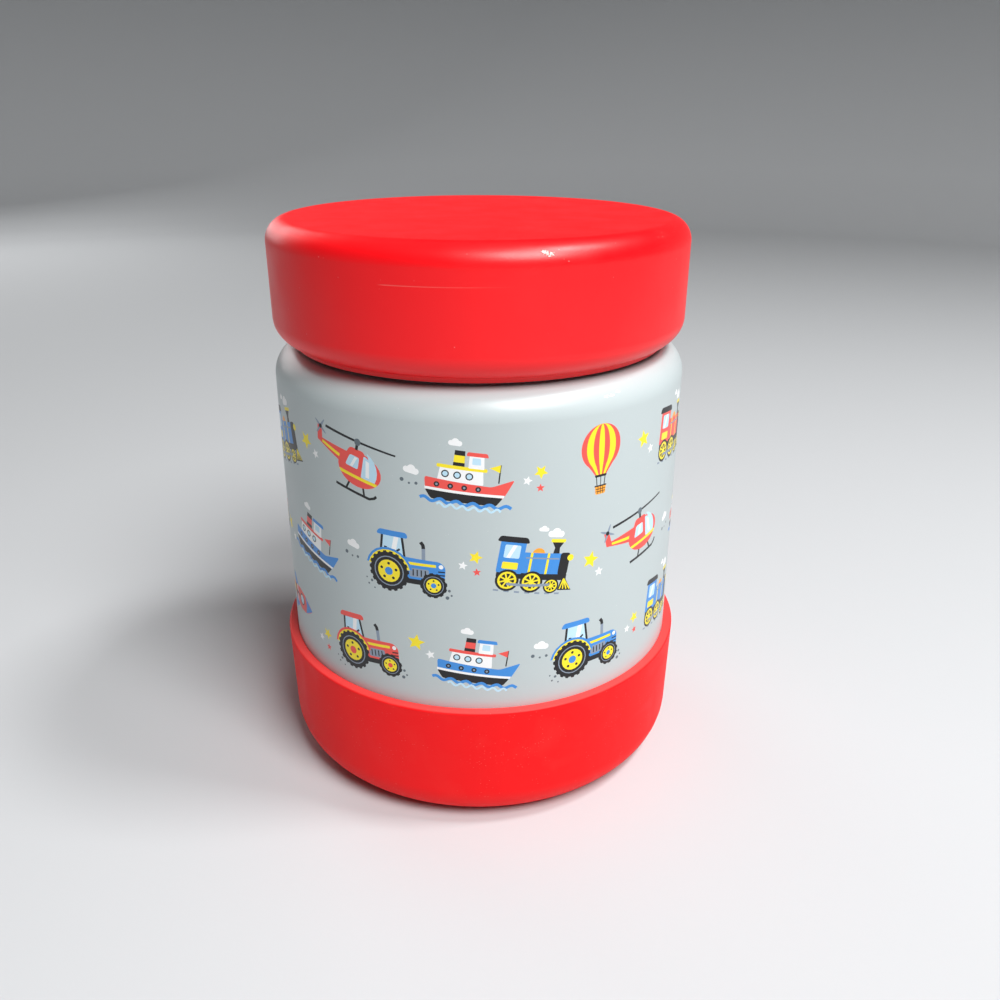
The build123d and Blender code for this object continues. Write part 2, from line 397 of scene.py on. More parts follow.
@dataclass(frozen=True)
class MouldedSilicone(Finish):
    """Compression-moulded silicone rubber: matte and slightly tacky, so that it holds dust and smears."""

    gloss: float = 0.3  # its specular level, lower than that of a hard plastic
    smear: float = 11.0  # width of a smear
    lint: float = 0.7  # spacing of the specks of lint
    grain: float = 0.5
    grain_depth: float = 0.014
    rim_highlight: Point = (29.6, 29.8)  # heights between which the rim's top turns paler: a painted highlight

    def dress(self, coat: Coat) -> None:
        """Adds the matte grain, smears that dull it, pale specks of lint, and a painted highlight on the
        rim's top.

        Args:
            coat: The material's nodes.
        """
        coat.shader.inputs["Specular IOR Level"].default_value = self.gloss
        smear = coat.add(NOISE, coat.cells(self.smear, Detail=4.0, Distortion=0.8))
        coat.vary_gloss(smear, (0.3, 0.7), (self.roughness - 0.08, self.roughness + 0.08))
        coat.cloud(smear, (0.5, 0.85), share=0.12, colour="FF6A60")
        coat.specks(self.lint, patch=5.0, rarity=0.50, share=0.32, colour="FFB9B0")
        # Painted highlight: the top of the rim is tinted paler, as where the light from above falls on it.
        height = coat.add(SPLIT, (coat.place,)).outputs[2]
        coat.cloud(height, (self.rim_highlight[0] * MM, self.rim_highlight[1] * MM), share=0.42, colour="FF6A66")
        grain = coat.add(NOISE, coat.cells(self.grain))
        coat.relief(grain, self.grain_depth)


@dataclass(frozen=True)
class ClearSilicone(Finish):
    """Uncoloured silicone rubber: milky, soft in its gloss, with light that spreads inside it."""

    spread: float = 1.2  # how far light spreads
    haze: float = 5.0  # width of a hazy patch
    grain: float = 0.4
    grain_depth: float = 0.010

    def dress(self, coat: Coat) -> None:
        """Adds the spread of light, a haze and a fine grain.

        Args:
            coat: The material's nodes.
        """
        coat.shader.inputs["Subsurface Weight"].default_value = 0.35
        coat.shader.inputs["Subsurface Radius"].default_value = (1.0, 1.0, 1.0)
        coat.shader.inputs["Subsurface Scale"].default_value = self.spread * MM
        haze = coat.add(NOISE, coat.cells(self.haze, Detail=3.0))
        coat.cloud(haze, (0.35, 0.8), share=0.3, colour="D5DAD8")
        grain = coat.add(NOISE, coat.cells(self.grain))
        coat.relief(grain, self.grain_depth)


@dataclass(frozen=True)
class TurnedSteel(Finish):
    """Stainless steel, drawn and then brushed or spun on a lathe, so that its grooves run round the axis."""

    groove: float = 0.25  # width of a brush groove, drawn about three times its real one
    depth: float = 0.004
    wander: float = 0.004  # how much a groove strays from its circle
    stain: float = 18.0  # width of a stain

    def dress(self, coat: Coat) -> None:
        """Adds the metal, its grooves on walls and flat faces alike, and stains.

        Args:
            coat: The material's nodes.
        """
        coat.shader.inputs["Metallic"].default_value = 1.0
        level = coat.add(VECTOR_MATH, (coat.place, (1.0, 1.0, 0.0)), operation="MULTIPLY")
        reach = coat.add(VECTOR_MATH, (level,), operation="LENGTH").outputs["Value"]
        height = coat.add(SPLIT, (coat.place,)).outputs[2]
        along = coat.add(JOIN, {2: coat.add(MATH, (reach, height), operation="ADD")})
        stray = coat.add(VECTOR_MATH, {0: coat.place, "Scale": self.wander}, operation="SCALE")
        path = coat.add(VECTOR_MATH, (along, stray), operation="ADD")
        grooves = coat.add(NOISE, coat.cells(self.groove, Vector=path, Detail=3.0))
        coat.vary_gloss(grooves, (0.3, 0.7), (self.roughness - 0.06, self.roughness + 0.08))
        stain = coat.add(NOISE, coat.cells(self.stain, Detail=4.0))
        coat.cloud(stain, (0.45, 0.8), share=0.25, colour="A9A6A2")
        coat.relief(grooves, self.depth)


@dataclass(frozen=True)
class FoamedPolyurethane(Finish):
    """Rigid polyurethane foam: dull, with open cells on its cut faces whose hollow middles are darkened with
    painted shade.
    """

    cell: float = 0.9
    cell_depth: float = 0.25

    def dress(self, coat: Coat) -> None:
        """Adds the cells, with painted shade in their hollows.

        Args:
            coat: The material's nodes.
        """
        cells = coat.add(CELLS, coat.cells(self.cell))
        # Painted shade: each cell is tinted darker towards its hollow middle.
        coat.tint(coat.add(RANGE, (cells, 0.0, 0.5, 0.6, 0.0)), "B9A878")
        coat.relief(cells, self.cell_depth)


@dataclass(frozen=True)
class RolledFoil(Finish):
    """Rolled copper foil that was wrapped by hand: bright, with long creases and a darker tarnish."""

    crease: float = 7.0
    crease_depth: float = 0.2
    tarnish: float = 12.0  # width of a tarnished patch

    def dress(self, coat: Coat) -> None:
        """Adds the metal, its tarnish and its creases.

        Args:
            coat: The material's nodes.
        """
        coat.shader.inputs["Metallic"].default_value = 1.0
        patch = coat.add(NOISE, coat.cells(self.tarnish, Detail=3.0))
        coat.cloud(patch, (0.45, 0.8), share=0.5, colour="8F5230")
        coat.relief(coat.add(CELLS, coat.cells(self.crease)), self.crease_depth)


@dataclass(frozen=True)
class FusedGlass(Finish):
    """Solder glass that was melted into its pit: dark, smooth and glossy, with small bubbles and a haze."""

    bubble: float = 0.5
    bubble_depth: float = 0.03
    haze: float = 1.5

    def dress(self, coat: Coat) -> None:
        """Adds the haze and the bubbles.

        Args:
            coat: The material's nodes.
        """
        haze = coat.add(NOISE, coat.cells(self.haze))
        coat.cloud(haze, (0.4, 0.7), share=0.4, colour="6D7568")
        bubbles = coat.add(CELLS, coat.cells(self.bubble))
        coat.relief(coat.add(RANGE, (bubbles, 0.0, 0.25, 0.0, 1.0)), self.bubble_depth)


@dataclass(frozen=True)
class SinteredAlloy(Finish):
    """Pressed and sintered zirconium alloy: dark grey and granular, with little shine."""

    grain: float = 0.3
    grain_depth: float = 0.08

    def dress(self, coat: Coat) -> None:
        """Adds the metal and its grains.

        Args:
            coat: The material's nodes.
        """
        coat.shader.inputs["Metallic"].default_value = 0.7
        grains = coat.add(NOISE, coat.cells(self.grain, Detail=4.0))
        coat.cloud(grains, (0.4, 0.7), share=0.6, colour="8B8A88")
        coat.relief(grains, self.grain_depth)


@dataclass(frozen=True)
class BackdropPaper(Finish):
    """Matte graduated studio paper: pale on the floor, and greyer the higher it rises behind."""

    upper: str = "5A5C5E"
    shaded: Point = (60.0, 620.0)  # heights between which it turns grey
    tooth: float = 1.5
    tooth_depth: float = 0.02

    def dress(self, coat: Coat) -> None:
        """Adds the change of shade and a faint tooth.

        Args:
            coat: The material's nodes.
        """
        height = coat.add(SPLIT, (coat.place,)).outputs[2]
        coat.cloud(height, (self.shaded[0] * MM, self.shaded[1] * MM), share=1.0, colour=self.upper)
        tooth = coat.add(NOISE, coat.cells(self.tooth))
        coat.relief(tooth, self.tooth_depth)


# A pale cool grey with a soft sheen, chipped white where the shoulder was knocked.
ENAMEL = BakedEnamel(
    "baked_enamel_pale_grey", "BCC6C7", 0.34,
    chips=((25.2, -37.4, 95.9), (26.4, -36.6, 95.9), (27.6, -35.4, 96.3)),
)
# A strong satin red, with one long scratch round its side, pale partly as torn skin and partly as a painted
# highlight, and a chip in its top edge.
LID_PLASTIC = MouldedPolypropylene(
    "moulded_polypropylene_red", "FA0411", 0.38, 1.49,
    # The scratch runs only across the front, where a painted highlight makes its fine line pale.
    scratches=(Scratch((-22.5, 118.05), (10.0, 118.2), 0.25),),
    chips=((12.6, -43.1, 124.0), (13.5, -43.0, 123.6)),
)
# The same red inside the lid, a little duller, with no marks.
LINER_PLASTIC = MouldedPolypropylene("moulded_polypropylene_liner", "FA0411", 0.42, 1.49)
# A matte red that looks deeper than the lid's.
BOOT_RUBBER = MouldedSilicone("moulded_silicone_red", "FA0A10", 0.56, 1.41)
# A milky white ring that glows a little at its edges.
SEAL_RUBBER = ClearSilicone("moulded_silicone_clear", "E9ECEA", 0.42, 1.41)
# A bright grey metal whose highlights stretch across its fine grooves.
BRUSHED_STEEL = TurnedSteel("drawn_stainless_steel_brushed", "CBC9C5", 0.26)
# A duller metal with coarse tool rings.
SPUN_STEEL = TurnedSteel("spun_stainless_steel", "C6C4C1", 0.30, groove=0.5, depth=0.010)
# A dull cream with open cells.
FOAM = FoamedPolyurethane("foamed_polyurethane_cream", "E4D9AF", 0.85)
# A bright orange metal, creased and tarnished.
FOIL = RolledFoil("rolled_copper_foil", "D98B5F", 0.22)
# A dark glossy green grey.
SOLDER_GLASS = FusedGlass("fused_solder_glass", "3D4238", 0.10, 1.75)
# A dark granular grey.
GETTER_ALLOY = SinteredAlloy("sintered_zirconium_alloy", "5E5D5C", 0.62)
# A pale matte floor under a greyer wall.
PAPER = BackdropPaper("backdrop_paper_graduated", "CACCCE", 0.95)


# ---- Turned forms ----


class Corner(NamedTuple):
    """A corner of a turned outline, in millimetres."""

    radius: float
    height: float
    round: float = 0.0  # 0 where it is sharp
    finish: int = 0  # material slot of the surface that starts here
    step: float = 0.0  # longest step of the line that starts here, or 0 where it stays whole


class Spot(NamedTuple):
    """A point of a finished outline."""

    radius: float
    height: float
    finish: int = 0
    centre: Point | None = None  # middle of the round that it lies on


def rounded(corners: Sequence[Corner], closed: bool = False) -> list[Spot]:
    """Rounds the corners of an outline with true arcs.

    Args:
        corners: Its corners, counter-clockwise round the material, with the axis on the left.
        closed: Whether the last corner joins the first, in a piece that doesn't reach the axis.

    Returns:
        The points of the outline.
    """
    spots: list[Spot] = []
    for index, corner in enumerate(corners):
        here = Vector((corner.radius, corner.height))
        after = corners[(index + 1) % len(corners)]
        if corner.round and (closed or 0 < index < len(corners) - 1):
            before = corners[index - 1]
            back = (Vector((before.radius, before.height)) - here).normalized()
            ahead = (Vector((after.radius, after.height)) - here).normalized()
            half_turn = (math.pi - back.angle(ahead)) / 2
            centre = here + (back + ahead).normalized() * (corner.round / math.cos(half_turn))
            arm = here + back * (corner.round * math.tan(half_turn)) - centre
            side = math.copysign(2 * half_turn, back.x * ahead.y - back.y * ahead.x)
            count = max(2, math.ceil(math.degrees(2 * half_turn) / ARC_STEP))
            for step in range(count + 1):
                turned = Matrix.Rotation(-side * step / count, 2) @ arm
                spots.append(Spot(centre.x + turned.x, centre.y + turned.y, corner.finish, tuple(centre)))
        else:
            spots.append(Spot(here.x, here.y, corner.finish))
        if corner.step:
            start = Vector(spots[-1][:2])
            run = Vector((after.radius, after.height)) - start
            count = math.ceil(run.length / corner.step)
            for step in range(1, count):
                place = start + run * (step / count)
                spots.append(Spot(place.x, place.y, corner.finish))
    return spots


def crossing(spots: Sequence[Spot], radius: float) -> tuple[int, Spot]:
    """Finds where an outline that runs outwards first passes a radius.

    Args:
        spots: The outline's points, from the axis.
        radius: The radius that it passes.

    Returns:
        The number of the first point beyond that radius, and the point at it.
    """
    for index in range(1, len(spots)):
        before, after = spots[index - 1], spots[index]
        if before.radius < radius <= after.radius:
            share = (radius - before.radius) / (after.radius - before.radius)
            height = before.height + share * (after.height - before.height)
            return index, Spot(radius, height, before.finish, after.centre)
    raise ValueError(f"the outline doesn't reach a radius of {radius} mm")


def leanings(start: Spot, end: Spot) -> tuple[Point, Point]:
    """Returns the true normals at both ends of a stretch of outline, as radius and height.

    Args:
        start: The point where the stretch starts.
        end: The point where it ends, on the same round or in a straight line.

    Returns:
        The normal at its start and the one at its end, each a unit long.
    """
    along = Vector((end.radius - start.radius, end.height - start.height)).normalized()
    straight = Vector((along.y, -along.x))
    if start.centre is None or start.centre != end.centre:
        return tuple(straight), tuple(straight)
    arms = [(Vector(spot[:2]) - Vector(start.centre)).normalized() for spot in (start, end)]
    if arms[0].dot(straight) < 0:
        arms = [-arm for arm in arms]
    return tuple(arms[0]), tuple(arms[1])


def column_point(column: float, radius: float) -> Point:
    """Returns where a column stands, with column 0 at the back and the middle one at the front."""
    angle = 2 * math.pi * column / COLUMNS
    return -radius * math.sin(angle), radius * math.cos(angle)


class Touch(NamedTuple):
    """A corner of a face."""

    number: int  # of its point
    spread: Point  # its place on the bake map
    normal: Place  # the true normal there


@dataclass
class Skin:
    """A mesh in the making: its points in millimetres, and its faces with their slots."""

    points: list[Place] = field(default_factory=list)
    faces: list[list[Touch]] = field(default_factory=list)
    slots: list[int] = field(default_factory=list)

    def add_point(self, x: float, y: float, z: float) -> int:
        """Adds a point and returns its number."""
        self.points.append((x, y, z))
        return len(self.points) - 1

    def lathe(self, spots: Sequence[Spot], closed: bool = False,
              gap: int = -1) -> tuple[list[list[int]], list[float]]:
        """Turns an outline round the axis.

        Args:
            spots: The outline, counter-clockwise round the material.
            closed: Whether its last point joins its first.
            gap: The number of a point after which no faces are made, for a band that is made otherwise.

        Returns:
            The numbers of the points in each row, which are one on the axis and one for each column
            elsewhere, and each row's place along the bake map.
        """
        rows = []
        for spot in spots:
            count = COLUMNS if spot.radius > NIL else 1
            places = [column_point(column, spot.radius) for column in range(count)]
            rows.append([self.add_point(x, y, spot.height) for x, y in places])
        path = [*spots, spots[0]] if closed else list(spots)
        travelled = [0.0]
        for start, end in zip(path, path[1:]):
            travelled.append(travelled[-1] + math.dist(start[:2], end[:2]))
        shares = [length / travelled[-1] for length in travelled]
        for index, (start, end) in enumerate(zip(path, path[1:])):
            if index == gap:
                continue
            pair = (rows[index], rows[(index + 1) % len(rows)])
            leans = leanings(start, end)
            for column in range(COLUMNS):
                self.add_patch(pair, column, start.finish, shares[index : index + 2], leans)
        return rows, shares

    def add_patch(self, rows: tuple[list[int], list[int]], column: int, slot: int, shares: Sequence[float],
                  leans: tuple[Point, Point]) -> None:
        """Adds the face between two rows at one column, which is a triangle beside a pole.

        Args:
            rows: The numbers of the points in both rows.
            column: The number of the column on its left.
            slot: Its material slot.
            shares: Where both rows lie along the bake map.
            leans: The normals at both rows, as radius and height.
        """
        if len(rows[0]) == 1:
            places = ((0, column + 0.5), (1, column + 1), (1, column))
        elif len(rows[1]) == 1:
            places = ((0, column), (0, column + 1), (1, column + 0.5))
        else:
            places = ((0, column), (0, column + 1), (1, column + 1), (1, column))
        touches = []
        for side, place in places:
            number = rows[side][int(place) % len(rows[side])]
            x, y = column_point(place, leans[side][0])
            touches.append(Touch(number, (place / COLUMNS, shares[side]), (x, y, leans[side][1])))
        self.faces.append(touches)
        self.slots.append(slot)

    def build(self, name: str, finishes: Sequence[Finish]) -> Piece:
        """Makes the object, in metres, shaded by its true normals.

        Args:
            name: The piece's name.
            finishes: The finish of each material slot.

        Returns:
            The piece, at the origin, with its place in its mesh.
        """
        mesh = bpy.data.meshes.new(name)
        corners = [[touch.number for touch in face] for face in self.faces]
        mesh.from_pydata([[value * MM for value in point] for point in self.points], [], corners)
        mesh.polygons.foreach_set("material_index", self.slots)
        touches = [touch for face in self.faces for touch in face]
        spread = mesh.uv_layers.new(name="OFBake")
        spread.data.foreach_set("uv", [value for touch in touches for value in touch.spread])
        for finish in finishes:
            mesh.materials.append(finish.material())
        mesh.shade_smooth()
        mesh.normals_split_custom_set([touch.normal for touch in touches])
        piece = bpy.data.objects.new(name, mesh)
        bpy.context.scene.collection.objects.link(piece)
        return piece


@dataclass(frozen=True)
class Span:
    """The box of a CAD node at rest, in millimetres: its radius and its two heights."""

    radius: float
    low: float
    high: float

    @classmethod
    def of(cls, node: str) -> "Span":
        """Reads the box of a node that is turned round the axis."""
        low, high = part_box(node)
        return cls(high.x / MM, low.z / MM, high.z / MM)


def turned(name: str, finish: Finish, spots: Sequence[Spot], closed: bool = False) -> Piece:
    """Turns a piece of one finish.

    Args:
        name: The piece's name.
        finish: Its finish.
        spots: Its outline, counter-clockwise round the material.
        closed: Whether the outline's last point joins its first.

    Returns:
        The piece.
    """
    skin = Skin()
    skin.lathe(spots, closed)
    return skin.build(name, [finish])


def settle(piece: Piece, body: str, node: str) -> Piece:
    """Gives a finished piece its body, and hides the CAD node that it stands for.

    Args:
        piece: The piece.
        body: The CAD body that it rides on.
        node: The CAD node that it replaces.

    Returns:
        The same piece.
    """
    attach(piece, body)
    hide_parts(node)
    return piece


# ---- Geometry Nodes ----


SOCKET_KINDS = {float: "NodeSocketFloat", int: "NodeSocketInt", bpy.types.Material: "NodeSocketMaterial"}


class Pattern(Graph):
    """A Geometry Nodes tree with named inputs, run on a piece and then made plain mesh."""

    def __init__(self, name: str, **inputs: Any) -> None:
        """Makes the empty tree with its named inputs.

        Args:
            name: What the tree makes.
            inputs: The value of each named input: a number, a count or a material.
        """
        super().__init__(bpy.data.node_groups.new(name, "GeometryNodeTree"))
        self.values = inputs
        for way in ("INPUT", "OUTPUT"):
            self.tree.interface.new_socket("geometry", in_out=way, socket_type="NodeSocketGeometry")
        for label, value in inputs.items():
            self.tree.interface.new_socket(label, in_out="INPUT", socket_type=SOCKET_KINDS[type(value)])
        self.given = self.add("NodeGroupInput").outputs

    def end(self, shape: Source, chosen: Source | bool = True) -> None:
        """Ends the tree in realized geometry, whose chosen faces get the input named finish.

        Args:
            shape: The finished geometry.
            chosen: The faces that get the finish, or True for all of them.
        """
        real = self.add("GeometryNodeRealizeInstances", (shape,))
        finished = self.add("GeometryNodeSetMaterial", (real, chosen, self.given["finish"]))
        self.add("NodeGroupOutput", (finished,))

    def run(self, piece: Piece) -> None:
        """Runs the tree on a piece and keeps the result as its plain mesh.

        Args:
            piece: The piece.
        """
        modifier = piece.modifiers.new(self.tree.name, "NODES")
        modifier.node_group = self.tree
        for item in self.tree.interface.items_tree:
            if item.in_out == "INPUT" and item.name in self.values:
                modifier[item.identifier] = self.values[item.name]
        ready = piece.evaluated_get(bpy.context.evaluated_depsgraph_get())
        plain = bpy.data.meshes.new_from_object(ready)
        piece.modifiers.remove(modifier)
        bare = piece.data
        piece.data = plain
        bpy.data.meshes.remove(bare)
        plain.name = piece.name
        for index in reversed(range(len(plain.materials))):
            if plain.materials[index] is None:
                plain.materials.pop(index=index)


# ---- The print ----


class Ink(Enum):
    """The inks of the print, each with its sRGB value."""

    CORAL = "F0524A"
    YELLOW = "FBE522"
    BLUE = "3B8CDA"
    ORANGE = "F8A32A"
    BLACK = "0B0A0F"
    STONE = "5F6B73"
    STEEL = "8896A8"
    SKY = "BFE2F4"
    WHITE = "F7F8F8"


class Shape(NamedTuple):
    """One flat patch of ink, with its outline counter-clockwise, in millimetres."""

    ink: Ink
    outline: list[Point]


def oval(ink: Ink, x: float, y: float, wide: float, high: float, turn: float = 0.0) -> Shape:
    """Draws an ellipse.

    Args:
        ink: Its colour.
        x, y: Its middle.
        wide: Its radius across.
        high: Its radius upwards.
        turn: How far it is turned, in degrees.

    Returns:
        The patch.
    """
    count = max(10, min(36, round(7 * math.sqrt(max(wide, high)) + 8)))  # more corners for a larger one
    cos, sin = math.cos(math.radians(turn)), math.sin(math.radians(turn))
    outline = []
    for step in range(count):
        along = 2 * math.pi * step / count
        across, up = wide * math.cos(along), high * math.sin(along)
        outline.append((x + across * cos - up * sin, y + across * sin + up * cos))
    return Shape(ink, outline)


def disc(ink: Ink, x: float, y: float, radius: float) -> Shape:
    """Draws a round patch."""
    return oval(ink, x, y, radius, radius)


def sector(ink: Ink, x: float, y: float, radius: float, start: float, end: float) -> Shape:
    """Draws the part of a disc that a chord cuts off between two angles.

    Args:
        ink: Its colour.
        x, y: The disc's middle.
        radius: The disc's radius.
        start: The angle in degrees at which it starts.
        end: The one at which it ends.

    Returns:
        The patch.
    """
    count = max(4, round(abs(end - start) / 15))
    angles = [math.radians(start + (end - start) * step / count) for step in range(count + 1)]
    return Shape(ink, [(x + radius * math.cos(a), y + radius * math.sin(a)) for a in angles])


def panel(ink: Ink, rounding: float, *corners: Point) -> Shape:
    """Draws a polygon whose corners are rounded, by less where an edge is short.

    Args:
        ink: Its colour.
        rounding: The radius of each corner, or 0 where they are sharp.
        corners: Its corners, in either direction.

    Returns:
        The patch.
    """
    area = sum(a[0] * b[1] - b[0] * a[1] for a, b in zip(corners, corners[1:] + corners[:1]))
    points = list(corners if area > 0 else corners[::-1])
    if not rounding:
        return Shape(ink, points)
    outline: list[Point] = []
    for index, corner in enumerate(points):
        before, after = points[index - 1], points[(index + 1) % len(points)]
        back = (before[0] - corner[0], before[1] - corner[1])
        ahead = (after[0] - corner[0], after[1] - corner[1])
        reach = min(rounding, math.hypot(*back) * 0.45, math.hypot(*ahead) * 0.45)
        start = [corner[k] + back[k] / math.hypot(*back) * reach for k in (0, 1)]
        end = [corner[k] + ahead[k] / math.hypot(*ahead) * reach for k in (0, 1)]
        for share in (0.0, 0.33, 0.67, 1.0):
            a, b, c = (1 - share) ** 2, 2 * share * (1 - share), share**2
            outline.append(tuple(a * start[k] + b * corner[k] + c * end[k] for k in (0, 1)))
    return Shape(ink, outline)


def line(ink: Ink, width: float, *points: Point) -> Shape:
    """Draws a stroke of one width along some points, with square ends.

    Args:
        ink: Its colour.
        width: How wide it is.
        points: Two points or more, with gentle turns.

    Returns:
        The patch.
    """
    left, right = [], []
    for index, (x, y) in enumerate(points):
        before, after = points[max(index - 1, 0)], points[min(index + 1, len(points) - 1)]
        along = (after[0] - before[0], after[1] - before[1])
        reach = width / 2 / math.hypot(*along)
        left.append((x - along[1] * reach, y + along[0] * reach))
        right.append((x + along[1] * reach, y - along[0] * reach))
    return Shape(ink, right + left[::-1])


def star(ink: Ink, x: float, y: float, radius: float, turn: float = 90.0) -> Shape:
    """Draws a five-pointed star.

    Args:
        ink: Its colour.
        x, y: Its middle.
        radius: How far its points reach.
        turn: The angle in degrees at which its first point stands.

    Returns:
        The patch.
    """
    outline = []
    for step in range(10):
        reach = radius if step % 2 == 0 else 0.45 * radius
        angle = math.radians(turn + 36 * step)
        outline.append((x + reach * math.cos(angle), y + reach * math.sin(angle)))
    return Shape(ink, outline)


def tyre(x: float, y: float, radius: float, lugs: int) -> Shape:
    """Draws a black tyre with lugs round its tread.

    Args:
        x, y: Its middle.
        radius: How far the lugs reach.
        lugs: How many there are.

    Returns:
        The patch.
    """
    outline = []
    for lug in range(lugs):
        for share, reach in ((0.0, 0.93), (0.12, 1.0), (0.55, 1.0), (0.67, 0.93)):
            angle = 2 * math.pi * (lug + share) / lugs
            outline.append((x + reach * radius * math.cos(angle), y + reach * radius * math.sin(angle)))
    return Shape(Ink.BLACK, outline)


def wheel(x: float, y: float, radius: float, rim: Ink, hub: Ink) -> list[Shape]:
    """Draws a lugged tyre with a pale line inside its tread, a rim, five bolts and a hub.

    Args:
        x, y: Its middle.
        radius: Its radius.
        rim: The rim's colour.
        hub: The hub's colour.

    Returns:
        Its patches, from the back to the front.
    """
    shapes = [
        tyre(x, y, radius, lugs=max(10, round(4 * radius))),
        disc(Ink.STEEL, x, y, 0.74 * radius),
        disc(Ink.BLACK, x, y, 0.69 * radius),
        disc(rim, x, y, 0.55 * radius),
    ]
    for bolt in range(5):
        angle = math.radians(90 + 72 * bolt)
        reach = 0.38 * radius
        side, rise = reach * math.cos(angle), reach * math.sin(angle)
        shapes.append(disc(Ink.BLACK, x + side, y + rise, 0.07 * radius))
    return shapes + [disc(hub, x, y, 0.2 * radius)]


def iron_wheel(x: float, y: float, radius: float, rim: Ink) -> list[Shape]:
    """Draws a spoked wheel of a railway engine.

    Args:
        x, y: Its middle.
        radius: Its radius.
        rim: The colour of its rim and spokes.

    Returns:
        Its patches, from the back to the front.
    """
    rings = ((Ink.BLACK, 1.0), (rim, 0.8), (Ink.BLACK, 0.62))
    shapes = [disc(ink, x, y, share * radius) for ink, share in rings]
    for spoke in range(4):
        angle = math.radians(45 * spoke + 20)
        reach = (0.66 * radius * math.cos(angle), 0.66 * radius * math.sin(angle))
        shapes.append(line(rim, 0.14 * radius, (x - reach[0], y - reach[1]), (x + reach[0], y + reach[1])))
    return shapes + [disc(rim, x, y, 0.24 * radius)]


def pebbles(seed: int, *spots: Point) -> list[Shape]:
    """Draws small grey dots of uneven size, one at each spot, starting from one of the sizes."""
    sizes = (0.42, 0.24, 0.33, 0.2)
    return [disc(Ink.STONE, x, y, sizes[(seed + index) % len(sizes)]) for index, (x, y) in enumerate(spots)]


def puff(ink: Ink, x: float, y: float, size: float) -> list[Shape]:
    """Draws a small cloud of three lobes on a flat foot.

    Args:
        ink: Its colour.
        x, y: Its middle.
        size: Half its width, or nearly.

    Returns:
        Its patches.
    """
    return [
        disc(ink, x - 0.75 * size, y, 0.5 * size),
        disc(ink, x + 0.05 * size, y + 0.25 * size, 0.72 * size),
        disc(ink, x + 0.85 * size, y + 0.02 * size, 0.52 * size),
        panel(ink, 0.0, (x - 0.8 * size, y - 0.5 * size), (x + 0.9 * size, y - 0.5 * size),
              (x + 0.9 * size, y + 0.1 * size), (x - 0.8 * size, y + 0.1 * size)),
    ]


def tractor(paint: Ink, trim: Ink) -> list[Shape]:
    """Draws a farm tractor that faces right.

    Args:
        paint, trim: The inks of its body and of its trim.

    Returns:
        Its patches, from the back to the front.
    """
    return [
        *pebbles(1, (-9.4, -6.4), (-8.6, -5.5), (-9.9, -5.0), (8.9, -6.6), (9.8, -6.0), (9.3, -4.9),
                 (-7.9, -7.1)),
        line(Ink.STEEL, 0.8, (3.7, 1.0), (3.7, 4.6)),
        line(Ink.BLACK, 0.8, (3.7, 4.4), (3.6, 5.2), (3.1, 5.9)),
        panel(Ink.SKY, 0.0, (-6.0, 0.8), (-0.7, 0.8), (-1.3, 6.4), (-5.6, 6.4)),
        panel(Ink.WHITE, 0.0, (-3.9, 1.6), (-2.8, 1.6), (-1.8, 6.4), (-2.9, 6.4)),
        line(Ink.BLACK, 0.7, (-5.4, 1.0), (-4.9, 3.6)),
        line(Ink.BLACK, 0.35, (-0.9, 1.0), (-2.2, 3.0)),
        line(Ink.BLACK, 0.45, (-2.9, 2.5), (-1.6, 3.5)),
        line(Ink.BLACK, 0.55, (-6.3, 0.6), (-5.7, 6.5)),
        line(Ink.BLACK, 0.55, (-0.4, 0.6), (-1.1, 6.5)),
        panel(paint, 0.6, (-7.2, 6.2), (0.3, 6.2), (-0.1, 7.5), (-6.5, 7.5)),
        panel(Ink.BLACK, 0.3, (-2.0, -4.2), (5.8, -4.2), (5.8, -2.6), (-2.0, -2.6)),
        panel(paint, 0.9, (-1.6, -3.0), (8.3, -3.0), (8.5, 0.5), (7.3, 1.7), (-1.6, 2.0)),
        panel(trim, 0.0, (-0.6, 0.3), (6.4, 0.3), (6.4, 0.95), (-0.6, 0.95)),
        panel(Ink.STEEL, 0.4, (0.6, -2.5), (4.9, -2.5), (4.9, -0.4), (0.6, -0.4)),
        *[line(Ink.BLACK, 0.28, (x, -2.2), (x, -0.7)) for x in (1.4, 2.3, 3.2, 4.1)],
        *[line(Ink.BLACK, 0.3, (6.9, y), (8.35, y)) for y in (-2.2, -1.4, -0.6)],
        disc(Ink.WHITE, 7.5, 0.6, 0.5),
        sector(paint, -4.3, -2.2, 5.6, 12, 168),
        sector(trim, -4.3, -2.2, 5.05, 12, 168),
        *wheel(-4.3, -2.2, 4.8, trim, paint),
        *wheel(5.9, -4.0, 3.0, trim, paint),
    ]


